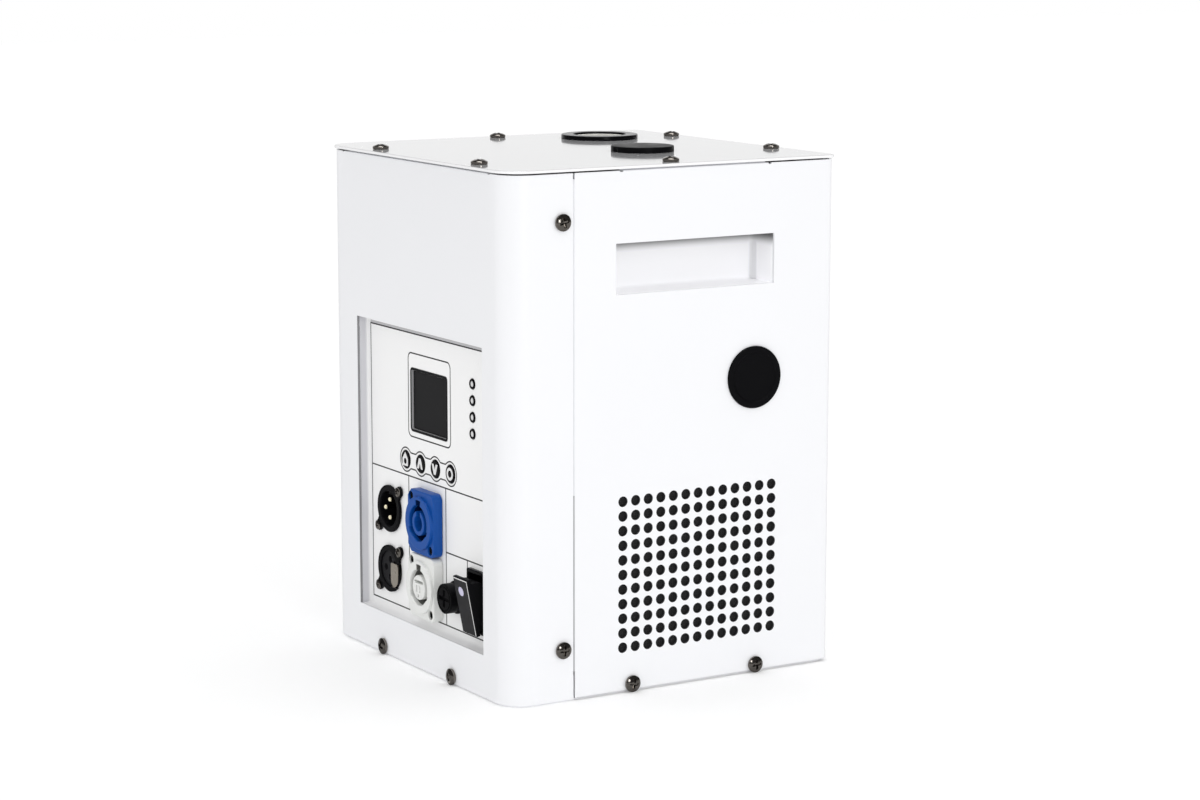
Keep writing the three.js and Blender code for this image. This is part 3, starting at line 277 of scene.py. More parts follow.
# %% Lamp and floor
lamp_side = 0.3
lamp_power = 2.6
lamp_place = (1.5, -0.25, 0.42)
lamp_target = (0, 0, 0.12)
lamp_data = bpy.data.lights.new("right_softbox", "AREA")
lamp_data.shape = "RECTANGLE"
lamp_data.size = lamp_side
lamp_data.size_y = lamp_side
lamp_data.energy = lamp_power
lamp = bpy.data.objects.new("right_softbox", lamp_data)
lamp.location = lamp_place
lamp.rotation_mode = "QUATERNION"
lamp.rotation_quaternion = (Vector(lamp_target) - lamp.location).to_track_quat("-Z", "Y")
scene.collection.objects.link(lamp)

floor_reach = 6000
floor_own_light = 0.1
floor_bounce = 0.2
floor_white = 0.95
floor_in_mirrors = 0.5
floor_points = np.array([[-floor_reach, -floor_reach, 0], [floor_reach, -floor_reach, 0],
                         [floor_reach, floor_reach, 0], [-floor_reach, floor_reach, 0]], float)
floor_mesh = mesh_from("studio_floor", (floor_points, [np.array([[0, 1, 2, 3]])]), False)
floor_paper = bpy.data.materials.new("floor_paper")
floor_paper.use_nodes = True
tree = floor_paper.node_tree
tree.nodes.clear()
path = link_node(tree, "ShaderNodeLightPath").outputs
own = calc(tree, "MULTIPLY_ADD", path["Is Camera Ray"], floor_own_light,
           calc(tree, "MULTIPLY", path["Is Diffuse Ray"], floor_bounce))
shade = mixed(tree, path["Is Glossy Ray"], (floor_white,) * 3 + (1,), (floor_in_mirrors,) * 3 + (1,))
paper = link_node(tree, "ShaderNodeBsdfDiffuse", {"Color": shade})
shine = link_node(tree, "ShaderNodeEmission", {"Color": (1, 1, 1, 1), "Strength": own})
both = link_node(tree, "ShaderNodeAddShader", {0: paper.outputs[0], 1: shine.outputs[0]})
link_node(tree, "ShaderNodeOutputMaterial", {"Surface": both.outputs[0]})
floor_mesh.materials.append(floor_paper)
floor = bpy.data.objects.new("studio_floor", floor_mesh)
scene.collection.objects.link(floor)
floor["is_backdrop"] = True
print("lamp:", lamp_power, "W, floor:", 2 * floor_reach * MM, "m wide")

# %% [markdown]
# ## Effects for the finishes
# The white parts are powder coated: a satin skin with a very shallow, even ripple. The black, blue and
# grey parts are moulded plastic with a fine matt grain. The screws are dark nickel. Such effects could be
# painted into images, but a node group works them out from the object's own coordinates, so they need
# no unwrapping and stay sharp however near the camera comes. Each effect is one group, built once, and
# each finish places it with its own values.

# %% Helpers for effects
COLOUR = "NodeSocketColor"
NUMBER = "NodeSocketFloat"
VECTOR = "NodeSocketVector"
MID_GREY = (0.8, 0.8, 0.8, 1)


def effect(name, inputs, outputs=("Colour", "Roughness", "Height")):
    """An empty node group with named sockets: each input is (kind, starting value)."""
    group = bpy.data.node_groups.new(name, "ShaderNodeTree")
    for label, (kind, start) in inputs.items():
        group.interface.new_socket(label, in_out="INPUT", socket_type=kind).default_value = start
    for label in outputs:
        kind = COLOUR if label == "Colour" else NUMBER
        group.interface.new_socket(label, in_out="OUTPUT", socket_type=kind)
    return group, group.nodes.new("NodeGroupInput").outputs, group.nodes.new("NodeGroupOutput").inputs


def give(group, result, **values):
    """Links what an effect worked out to the group's outputs."""
    for label, value in values.items():
        group.links.new(value, result[label.title()])


def noise(group, place, scale, detail, roughness=0.5):
    """A noise pattern at a place."""
    inputs = {"Vector": place, "Scale": scale, "Detail": detail, "Roughness": roughness}
    return link_node(group, "ShaderNodeTexNoise", inputs).outputs[0]


def shaded(group, colour, amount, value):
    """A colour times (1 - amount + amount * value): a pattern that darkens it a little."""
    share = ranged(group, value, 0.0, 1.0, calc(group, "SUBTRACT", 1.0, amount), 1.0)
    grey = link_node(group, "ShaderNodeCombineColor", {"Red": share, "Green": share, "Blue": share})
    return mixed(group, 1.0, colour, grey.outputs[0], blend_type="MULTIPLY")


def uneven(group, roughness, pattern, low, high):
    """A roughness times a share from low to high that follows the middle of a pattern."""
    return calc(group, "MULTIPLY", roughness, ranged(group, pattern, 0.3, 0.7, low, high))


print("an effect's sockets are", COLOUR, NUMBER, VECTOR)

# %% Powder coat
coat_ripple = 900.0
coat_patches = 22.0


def build_powder_coat():
    """Two noises: a ripple of about a millimetre for the height, and a broad one that varies the gloss. The
    side colour takes the place of the colour where a face stands upright."""
    group, given, result = effect("powder_coat", {
        "Colour": (COLOUR, MID_GREY), "Side Colour": (COLOUR, MID_GREY), "Roughness": (NUMBER, 0.35)})
    texture = link_node(group, "ShaderNodeTexCoord").outputs
    broad = noise(group, texture["Object"], coat_patches, 3.0)
    level = ranged(group, axes_of(group, texture["Normal"])["Z"], 0.3, 0.9)
    painted = mixed(group, level, given["Side Colour"], given["Colour"])
    give(group, result, colour=shaded(group, painted, 0.02, broad),
         roughness=uneven(group, given["Roughness"], broad, 0.92, 1.08),
         height=noise(group, texture["Object"], coat_ripple, 2.0, 0.4))
    return group


powder_coat = build_powder_coat()
print("effect:", powder_coat.name)

# %% [markdown]
# ## Painted shade
# Two effects paint shade into a surface's colour. In the finger recess it is the strip under its upper edge
# and the corners at both ends. On a sheet it is the cut edges and the walls of holes and recesses, which
# are darker so that they look shaded. Both effects find their places by coordinates, and the second one by
# the way that a face points too.

# %% Painted shade in the recess and on cut edges
corner_band = (0.0008, 0.0026)
wall_band = (0.0035, 0.0058)


def build_recess_painted_shade():
    """Painted shade: the colour is multiplied by the smaller of two shares, one that falls towards the top
    and rises once more at the foot, and one that falls towards the ends."""
    group, given, result = effect("recess_painted_shade", {
        "Colour": (COLOUR, MID_GREY), "Roughness": (NUMBER, 0.4), "Top": (NUMBER, 0.2),
        "Band": (NUMBER, 0.005), "Fade": (NUMBER, 0.019), "Foot": (NUMBER, 0.0235), "Middle": (NUMBER, 0.0),
        "End": (NUMBER, 0.04), "Deepest": (NUMBER, 0.0)})
    place = link_node(group, "ShaderNodeTexCoord").outputs["Object"]
    axes = axes_of(group, place)
    below = calc(group, "SUBTRACT", given["Top"], axes["Z"])
    fallen = ranged(group, below, 0.0, given["Band"], 0.1, 0.9, interpolation_type="SMOOTHERSTEP")
    lower = ranged(group, below, given["Fade"], given["Foot"], 0.0, 0.1)
    away = calc(group, "ABSOLUTE", calc(group, "SUBTRACT", axes["Y"], given["Middle"]))
    corner = ranged(group, calc(group, "SUBTRACT", given["End"], away), *corner_band, 0.72, 1.0)
    raised = calc(group, "SUBTRACT", calc(group, "ABSOLUTE", axes["X"]), given["Deepest"])
    wall = ranged(group, raised, *wall_band, corner, 1.0)
    least = calc(group, "MINIMUM", calc(group, "ADD", fallen, lower), wall)
    give(group, result, colour=shaded(group, given["Colour"], 1.0, least), roughness=given["Roughness"],
         height=noise(group, place, coat_ripple, 2.0))
    return group


def build_painted_edge_shade():
    """Painted shade on edges. A face belongs to an edge where its normal has little of the sheet's own axis,
    near the sheet's plane and inside a limit along another axis. Level edges take only a share of the edge
    colour."""
    group, given, result = effect("painted_edge_shade", {
        "Colour": (COLOUR, MID_GREY), "Edge Colour": (COLOUR, (0.2, 0.2, 0.2, 1)),
        "Axis": (VECTOR, (1.0, 0.0, 0.0)), "Other Axis": (VECTOR, (0.0, 1.0, 0.0)), "Plane": (NUMBER, 0.0),
        "Limit": (NUMBER, 1.0), "Level Share": (NUMBER, 1.0), "Roughness": (NUMBER, 0.4)})
    texture = link_node(group, "ShaderNodeTexCoord").outputs

    def share_of(vector, axis):
        return calc(group, "ABSOLUTE", dot_of(group, vector, axis))

    near = calc(group, "GREATER_THAN", share_of(texture["Object"], given["Axis"]), given["Plane"])
    inside = calc(group, "LESS_THAN", share_of(texture["Object"], given["Other Axis"]), given["Limit"])
    across = ranged(group, share_of(texture["Normal"], given["Axis"]), 0.75, 0.35)
    cut = calc(group, "MULTIPLY", calc(group, "MULTIPLY", near, inside), across)
    level = ranged(group, share_of(texture["Normal"], (0, 0, 1)), 0.35, 0.75, 1.0, given["Level Share"])
    painted = mixed(group, calc(group, "MULTIPLY", cut, level), given["Colour"], given["Edge Colour"])
    broad = noise(group, texture["Object"], coat_patches, 3.0)
    give(group, result, colour=shaded(group, painted, 0.02, broad), roughness=given["Roughness"],
         height=noise(group, texture["Object"], coat_ripple, 2.0, 0.4))
    return group


recess_painted_shade = build_recess_painted_shade()
painted_edge_shade = build_painted_edge_shade()
print("effects:", recess_painted_shade.name, painted_edge_shade.name)

# %% [markdown]
# ## Plastic, metal and mesh
# A mould for plastic is spark eroded, which leaves a fine matt grain. Turned and ground metal has fine
# lines that run one way, and it tarnishes in patches. The filter behind the vents is woven from two sets
# of threads.

# %% Moulded grain, machined metal and woven mesh


def build_moulded_grain():
    """A fine sparked-mould grain: noise at a fifth of a millimetre for height, colour and roughness."""
    group, given, result = effect("moulded_grain", {
        "Colour": (COLOUR, (0.02, 0.02, 0.02, 1)), "Grain Scale": (NUMBER, 4200.0),
        "Roughness": (NUMBER, 0.5)})
    place = link_node(group, "ShaderNodeTexCoord").outputs["Object"]
    grain = noise(group, place, given["Grain Scale"], 3.0, 0.6)
    give(group, result, colour=shaded(group, given["Colour"], 0.18, grain), height=grain,
         roughness=uneven(group, given["Roughness"], noise(group, place, 120.0, 4.0), 0.85, 1.15))
    return group


def build_machined_metal():
    """Streaks: noise squeezed across one direction, so that it runs in long lines along the other two."""
    group, given, result = effect("machined_metal", {
        "Colour": (COLOUR, (0.6, 0.6, 0.6, 1)), "Streak Scale": (VECTOR, (300.0, 300.0, 9000.0)),
        "Roughness": (NUMBER, 0.3)})
    place = link_node(group, "ShaderNodeTexCoord").outputs["Object"]
    squeezed = link_node(group, "ShaderNodeVectorMath", {0: place, 1: given["Streak Scale"]},
                         operation="MULTIPLY").outputs[0]
    streak = noise(group, squeezed, 1.0, 3.0)
    give(group, result, colour=shaded(group, given["Colour"], 0.25, streak), height=streak,
         roughness=uneven(group, given["Roughness"], noise(group, place, 160.0, 5.0), 0.8, 1.25))
    return group


def build_woven_mesh():
    """Two sets of threads: sin² of the place along Y and along Z, and the higher thread shows."""
    group, given, result = effect("woven_mesh", {
        "Colour": (COLOUR, (0.02, 0.02, 0.02, 1)), "Thread Pitch": (NUMBER, 0.0012)}, ("Colour", "Height"))
    axes = axes_of(group, link_node(group, "ShaderNodeTexCoord").outputs["Object"])
    waves = []
    for axis in ("Y", "Z"):
        turns = calc(group, "DIVIDE", axes[axis], given["Thread Pitch"])
        wave = calc(group, "SINE", calc(group, "MULTIPLY", turns, math.pi))
        waves.append(calc(group, "MULTIPLY", wave, wave))
    top = calc(group, "MAXIMUM", *waves)
    give(group, result, colour=shaded(group, given["Colour"], 0.7, top), height=top)
    return group


moulded_grain = build_moulded_grain()
machined_metal = build_machined_metal()
woven_mesh = build_woven_mesh()
print("effects:", [group.name for group in bpy.data.node_groups])

# %% [markdown]
# ## The list of finishes
# A finish is one Principled shader fed by one of the groups. What is the same all over a surface, such as
# how metallic it is or how strong its clear coat is, is set on the shader itself. What changes from place
# to place, its colour, roughness and tiny heights, comes from the group. The black plastics have a low
# index of refraction, because a matt mould scatters most of what a smooth one would mirror. A finish may
# also glow a little: painted light, in place of the light that bounces many times inside a white hollow
# and of the light that gilt tips catch.

# %% One finish


def finish(name, group, colour, roughness, metallic=0.0, depth=0.02, coat=0.0, coat_roughness=0.05,
           ior=1.5, side_colour=None, glow=0.0, **values):
    """A material whose colour, roughness and bump come from a group. Depth is the bump's height in mm."""
    material = bpy.data.materials.new(name)
    material.use_nodes = True
    tree = material.node_tree
    tree.nodes.clear()
    effect_node = link_node(tree, "ShaderNodeGroup", node_tree=group)
    effect_node.inputs["Colour"].default_value = (*colour, 1)
    if "Side Colour" in effect_node.inputs:
        effect_node.inputs["Side Colour"].default_value = (*(side_colour or colour), 1)
    for label, value in values.items():
        effect_node.inputs[label.replace("_", " ").title()].default_value = value
    bump = link_node(tree, "ShaderNodeBump", {"Height": effect_node.outputs["Height"],
                                              "Distance": depth * MM, "Strength": 1.0})
    shader = link_node(tree, "ShaderNodeBsdfPrincipled",
                       {"Base Color": effect_node.outputs["Colour"], "Normal": bump.outputs[0],
                        "Metallic": metallic, "IOR": ior, "Roughness": roughness,
                        "Coat Weight": coat, "Coat Roughness": coat_roughness})
    if glow:
        tree.links.new(effect_node.outputs["Colour"], shader.inputs["Emission Color"])
        shader.inputs["Emission Strength"].default_value = glow
    if "Roughness" in effect_node.outputs:
        effect_node.inputs["Roughness"].default_value = roughness
        tree.links.new(effect_node.outputs["Roughness"], shader.inputs["Roughness"])
    link_node(tree, "ShaderNodeOutputMaterial", {"Surface": shader.outputs[0]})
    return material


sheet_paint = (0.855, 0.86, 0.88)
satin_white = finish("satin_white", powder_coat, sheet_paint, 0.42, depth=0.006)
print("paint:", sheet_paint)

# %% The other finishes
# The top plate's level top is painted darker than its upright edges: painted shade on one white paint.
gloss_white_shaded_top = finish("gloss_white_shaded_top", powder_coat, (0.56, 0.56, 0.57), 0.1, depth=0.001, coat=0.3,
                     side_colour=(0.9, 0.9, 0.91))
band_grey = finish("band_grey", moulded_grain, (0.56, 0.56, 0.57), 0.5, depth=0.001)
ink_grey = finish("ink_grey", moulded_grain, (0.02, 0.02, 0.022), 0.5, depth=0.001)
black_plastic = finish("black_plastic", moulded_grain, (0.006, 0.006, 0.007), 0.4, depth=0.012, ior=1.13)
black_gloss = finish("black_gloss", moulded_grain, (0.005, 0.005, 0.006), 0.2, depth=0.003, ior=1.17)
plug_black = finish("plug_black", moulded_grain, (0.005, 0.005, 0.006), 0.48, depth=0.02, ior=1.13,
                    grain_scale=2600.0)
rocker_grey = finish("rocker_grey", moulded_grain, (0.028, 0.028, 0.03), 0.4, depth=0.01, ior=1.17)
insert_grey = finish("insert_grey", moulded_grain, (0.02, 0.02, 0.022), 0.4, depth=0.01, ior=1.13)
rocker_line = finish("rocker_line", moulded_grain, (0.85, 0.85, 0.85), 0.4, depth=0.002)
dot_lavender = finish("dot_lavender", moulded_grain, (0.62, 0.60, 0.78), 0.4, depth=0.002)
inlet_blue = finish("inlet_blue", moulded_grain, (0.003, 0.078, 0.37), 0.36, depth=0.008, ior=1.33)
inlet_shade = finish("inlet_shade", moulded_grain, (0.002, 0.016, 0.08), 0.5, depth=0.008, ior=1.1)
outlet_grey = finish("outlet_grey", moulded_grain, (0.84, 0.85, 0.83), 0.42, depth=0.008)
outlet_shade = finish("outlet_shade", moulded_grain, (0.16, 0.16, 0.15), 0.5, depth=0.008, ior=1.2)
symbol_white = finish("symbol_white", moulded_grain, (0.85, 0.85, 0.85), 0.4, depth=0.001)
lens_white = finish("lens_white", moulded_grain, (0.80, 0.80, 0.80), 0.2, depth=0.001, coat=0.5)
screen_glass = finish("screen_glass", moulded_grain, (0.018, 0.018, 0.019), 0.2, depth=0.001, ior=1.12)
screen_edge = finish("screen_edge", moulded_grain, (0.42, 0.42, 0.43), 0.35, depth=0.002)
nickel_dark = finish("nickel_dark", machined_metal, (0.24, 0.22, 0.20), 0.14, metallic=1.0, depth=0.002)
nickel_bright = finish("nickel_bright", machined_metal, (0.42, 0.38, 0.32), 0.3, metallic=0.6, depth=0.003)
# The gilt finish glows a little: painted light on the pin tips and on the board's pillars.
pin_gold_glowing = finish("pin_gold_glowing", machined_metal, (0.98, 0.90, 0.64), 0.25, metallic=0.2, depth=0.002,
                  glow=0.2)
zinc_plate = finish("zinc_plate", machined_metal, (0.52, 0.54, 0.57), 0.38, metallic=1.0, depth=0.003)
die_cast = finish("die_cast", machined_metal, (0.33, 0.34, 0.36), 0.5, metallic=0.9, depth=0.01)
tube_pale = finish("tube_pale", machined_metal, (0.80, 0.79, 0.75), 0.45, depth=0.004)
board_green = finish("board_green", moulded_grain, (0.02, 0.11, 0.05), 0.35, depth=0.004, coat=0.4)
hopper_clear = finish("hopper_clear", moulded_grain, (0.52, 0.55, 0.58), 0.25, depth=0.003)
filter_black = finish("filter_black", woven_mesh, (0.018, 0.018, 0.02), 0.7, depth=0.25)
print("finishes:", len(bpy.data.materials))

# %% [markdown]
# ## Folded sheet metal
# A folded part starts as a flat blank: holes are punched while it is flat, and then it is bent. The code
# does the same. A blank is a grid of lines whose places are chosen so that they pass through every edge of
# a hole or a bend. The faces inside a hole are left out, a square of lines round each round hole is drawn
# into a circle, and last the flat points are carried along the bent outline. Cutting holes with boolean
# tools would also work, but it leaves long thin faces that shade badly.

# %% Rounded lines


def unit(vector):
    """A vector divided by its length."""
    return vector / np.linalg.norm(vector)


def soften(corners, radii, steps=6, closed=False):
    """A line through corners, each turned as an arc: its centre is on the corner's bisector, at the
    radius over the sine of half the corner's angle."""
    corners = np.asarray(corners, float)
    radii = np.broadcast_to(np.asarray(radii, float), len(corners))
    line = []
    for i, (here, radius) in enumerate(zip(corners, radii)):
        if radius <= 0 or (not closed and i in (0, len(corners) - 1)):
            line.append(here[None])
            continue
        before = unit(corners[i - 1] - here)
        after = unit(corners[(i + 1) % len(corners)] - here)
        half = math.acos(np.clip(before @ after, -1, 1)) / 2
        centre = here + unit(before + after) * radius / math.sin(half)
        start = here + before * radius / math.tan(half) - centre
        end = here + after * radius / math.tan(half) - centre
        turn = math.pi - 2 * half
        t = np.linspace(0, 1, steps + 1)[:, None]
        line.append(centre + (np.sin((1 - t) * turn) * start + np.sin(t * turn) * end) / math.sin(turn))
    return np.vstack(line)


def lengths_along(line):
    """The distance along a line to each of its points."""
    return np.concatenate([[0], np.cumsum(np.linalg.norm(np.diff(line, axis=0), axis=1))])


def carried(distance, line):
    """The point at each distance along a line, as two arrays."""
    along = lengths_along(line)
    return np.interp(distance, along, line[:, 0]), np.interp(distance, along, line[:, 1])


quarter = soften([(1, 0), (1, 1), (0, 1)], 1, steps=24)
print("a quarter circle of radius 1 is", round(float(lengths_along(quarter)[-1]), 3), "long")

# %% Grid lines for holes and corners


def hole_lines(centre, radius, reach, steps=4):
    """Grid lines for a round hole: tangents of even angles inside it, and one line at its reach."""
    inside = radius * np.tan(np.linspace(-math.pi / 4, math.pi / 4, steps + 1))
    return centre + np.concatenate([[-reach], inside, [reach]])


def corner_lines(edge, radius, steps=5):
    """Grid lines for a rounded corner that ends at an edge: tangents of even angles from its centre."""
    side = math.copysign(1, edge)
    return edge - side * radius + side * radius * np.tan(np.linspace(0, math.pi / 4, steps + 1))


def lines(*places):
    """All the places as one sorted list of grid lines, without doubles."""
    every = np.sort(np.concatenate([np.atleast_1d(np.asarray(place, float)) for place in places]))
    return every[np.concatenate([[True], np.diff(every) > 1e-4])]


def drawn_round(x, y, cx, cy, radius, reach):
    """Points near (cx, cy) moved so that the square ring at the radius becomes a circle: a point at ring m
    and distance d is scaled by m / d there, and by 1 at the reach, blended evenly in between."""
    p, q = x - cx, y - cy
    ring = np.maximum(np.abs(p), np.abs(q))
    share = np.clip((ring - radius) / (reach - radius), 0, 1)
    scale = np.where(ring < reach, share + (1 - share) * ring / np.maximum(np.hypot(p, q), 1e-9), 1)
    return cx + p * scale, cy + q * scale


def corner_round(x, y, edge_x, edge_y, radius):
    """Points in a corner's square moved so that its two outer sides become an arc."""
    side_x, side_y = math.copysign(1, edge_x), math.copysign(1, edge_y)
    cx, cy = edge_x - side_x * radius, edge_y - side_y * radius
    p, q = (x - cx) * side_x, (y - cy) * side_y
    inside = (p > 0) & (q > 0)
    scale = np.where(inside, np.maximum(p, q) / np.maximum(np.hypot(p, q), 1e-9), 1)
    return np.where(inside, cx + side_x * p * scale, x), np.where(inside, cy + side_y * q * scale, y)


print("one hole needs", len(hole_lines(0, 1, 2)), "lines each way")

# %% Blanks and walls


def between(places):
    """The middles between neighbouring places."""
    return (places[:-1] + places[1:]) / 2


def blank(across, upward_lines, round_holes=(), windows=()):
    """A flat blank: the two coordinate grids with round holes drawn in, and which faces are kept.
    A round hole is (x, y, radius, reach), and a window is (x0, x1, y0, y1)."""
    x, y = np.meshgrid(across, upward_lines)
    middle_x, middle_y = np.meshgrid(between(across), between(upward_lines))
    keep = np.ones(middle_x.shape, bool)
    for cx, cy, radius, reach in round_holes:
        keep &= np.maximum(np.abs(middle_x - cx), np.abs(middle_y - cy)) > radius
        x, y = drawn_round(x, y, cx, cy, radius, reach)
    for x0, x1, y0, y1 in windows:
        keep &= ~((middle_x > x0) & (middle_x < x1) & (middle_y > y0) & (middle_y < y1))
    return x, y, keep


def sheet_metal(made, thickness, edge=0.2):
    """Gives a surface its wall, behind the face that shows, and breaks the wall's sharp edges."""
    wall = made.modifiers.new("wall", "SOLIDIFY")
    wall.thickness = thickness * MM
    wall.offset = -1
    wall.use_even_offset = True
    if edge:
        broken = made.modifiers.new("broken_edges", "BEVEL")
        broken.width = edge * MM
        broken.segments = 2
        broken.limit_method = "ANGLE"
        broken.angle_limit = math.radians(50)
        broken.harden_normals = True
    return made


print("a blank of 3 by 3 lines has", int(blank(np.arange(3.0), np.arange(3.0))[2].sum()), "faces")

# %% [markdown]
# ## The front cover
# One sheet makes the front, two bends of 13 mm radius and two wings on the sides. The large window shows
# the control panel. The top edge steps in and folds to a rim that the screws bite into, so a dark joint
# shows under the top plate. The walls end half a millimetre above the floor, which gives a thin dark joint
# there too. The blank is measured along the bent outline, and then carried round the bends.

# %% Sizes of the front cover
sheet = 1.2
front_bend = 13.0
back_bend = 5.0
rim_step = 3.2
foot_gap = 0.5
wall_top = box_mm("top_plate")[0][2] - 0.8
rim_top = case_high[2]
rim_width = 13.0
rim_setback = 18
rim_half = case_high[0] - rim_setback
side_face, front_face = case_high[0], case_low[1]
opening_x = (-60.0, 65.5)
opening_z = (21.0, 166.2)
notch_width = 1.6
notch_depth = 0.6
front_notch_depth = 0.3
edge_depth = sheet + 0.1
print("opening, mm:", opening_x[1] - opening_x[0], "by", round(opening_z[1] - opening_z[0], 1))

# %% A wall with a folded rim


def rim_profile(low):
    """A wall's side view: up from its low edge, round the top bend, and in along the rim."""
    return soften([(0, low), (0, wall_top), (rim_step, wall_top), (rim_step, rim_top), (rim_width, rim_top)],
                  [0, 0.4, 0.1, 0.2, 0], steps=3)


def folded_wall(across, profile, path, inward, windows=(), rims=(), notch=notch_depth):
    """A blank bent both ways. Across is carried along the plan's path. The height is carried up the
    profile, but only where a rim folds in. Elsewhere the wall stops at its top."""
    low = profile[0][1]
    heights = lines(low + lengths_along(profile), wall_top, wall_top - notch, *[w[2:] for w in windows])
    middle_u, middle_v = np.meshgrid(between(across), between(heights))
    u, v, keep = blank(across, heights, windows=windows)
    rim_point = np.zeros(u.shape, bool)
    rim_face = np.zeros(keep.shape, bool)
    for start, end in rims:
        rim_point |= (u > start - 0.01) & (u < end + 0.01)
        rim_face |= (middle_u > start) & (middle_u < end)
        for near, far in ((start - notch_width, start), (end, end + notch_width)):
            keep &= ~((middle_u > near) & (middle_u < far) & (middle_v > wall_top - notch))
    keep &= rim_face | (middle_v < wall_top)
    inset, height = carried(v - low, profile)
    inset, height = np.where(rim_point, inset, 0), np.where(rim_point, height, v)
    x, y = carried(u, path)
    points = np.stack([x + inset * inward[0], y + inset * inward[1], height], axis=-1)
    return surface(points, keep=keep)


print("a wall's side view has", len(rim_profile(0)), "points")

# %% The front cover's blank and paint
wing_end = box_mm("front_cover")[1][1]
front_path = soften([(-side_face, wing_end), (-side_face, front_face), (side_face, front_face),
                     (side_face, wing_end)], front_bend, steps=14)
front_middle = lengths_along(front_path)[-1] / 2
front_across = lines(lengths_along(front_path), front_middle + np.array(opening_x),
                     front_middle + np.array([-rim_half - notch_width, -rim_half, rim_half,
                                              rim_half + notch_width]))
front_shape = folded_wall(
    front_across, rim_profile(case_low[2] + foot_gap), front_path, (0, 1),
    windows=[(front_middle + opening_x[0], front_middle + opening_x[1], *opening_z)],
    rims=[(front_middle - rim_half, front_middle + rim_half)], notch=front_notch_depth)
# The dark edge colour on the window's cut edges is painted shade.
front_white_shaded_edges = finish("front_white_shaded_edges", painted_edge_shade, sheet_paint, 0.42, depth=0.006,
                     edge_colour=(0.24, 0.24, 0.25, 1), axis=(0, 1, 0), other_axis=(1, 0, 0),
                     plane=(-front_face - edge_depth) * MM, limit=(side_face - front_bend) * MM,
                     level_share=0.25)
front_cover = piece("front_cover_sheet", front_shape, front_white_shaded_edges,
                    replaces=["front_cover"], outward=False)
sheet_metal(front_cover, sheet)
print("front cover blank, mm:", round(front_middle * 2, 1), "wide")

# %% [markdown]
# ## The side panels
# Each side panel starts under the front cover's wing with a joggled lip, runs back, and turns the rear
# corner. Its blank has the vent's 143 punched holes, the finger recess's window and the plug's hole. The
# vent is a repeating pattern, so one formula draws all its circles at once: a point's place inside its own
# cell decides how it moves. The punched edges are painted dark, painted shade that makes the holes look black
# to their rims.

# %% Sizes of the side panels
vent_pitch = 7.0
vent_columns, vent_rows = 13, 11
vent_radius = 2.55
vent_y, vent_z = 12.8, 56.9
recess_length, recess_height = 88.3, 23.8
recess_y, recess_z = 11.0, 201.2
plug_y, plug_z = 44.0, 144.8
plug_hole = 14.0
plug_reach = 4.0
seam = 0.9
joggle = 1.0
lip_step = 1.5
side_rim_half = 40.5
wall_start = wing_end + seam
back_face = box_mm("side_panel_right")[1][1]
return_x = box_mm("side_panel_right")[0][0]
lip_x = side_face - lip_step
lip_start = box_mm("side_panel_right")[0][1]
lip_z = (14.0, 243.9)
side_rim = (recess_y - side_rim_half, recess_y + side_rim_half)
print("vent holes in each side:", vent_columns * vent_rows)

# %% A punched side panel


def vent_lines(centre, count, steps=4):
    """Grid lines for a row of punched holes, one set of hole lines for each."""
    centres = centre + (np.arange(count) - (count - 1) / 2) * vent_pitch
    return np.concatenate([hole_lines(place, vent_radius, vent_pitch / 2, steps) for place in centres])


def vent_cell(value, centre, count):
    """The nearest hole's centre along one axis, kept inside the pattern."""
    first = centre - (count - 1) / 2 * vent_pitch
    return first + np.clip(np.round((value - first) / vent_pitch), 0, count - 1) * vent_pitch


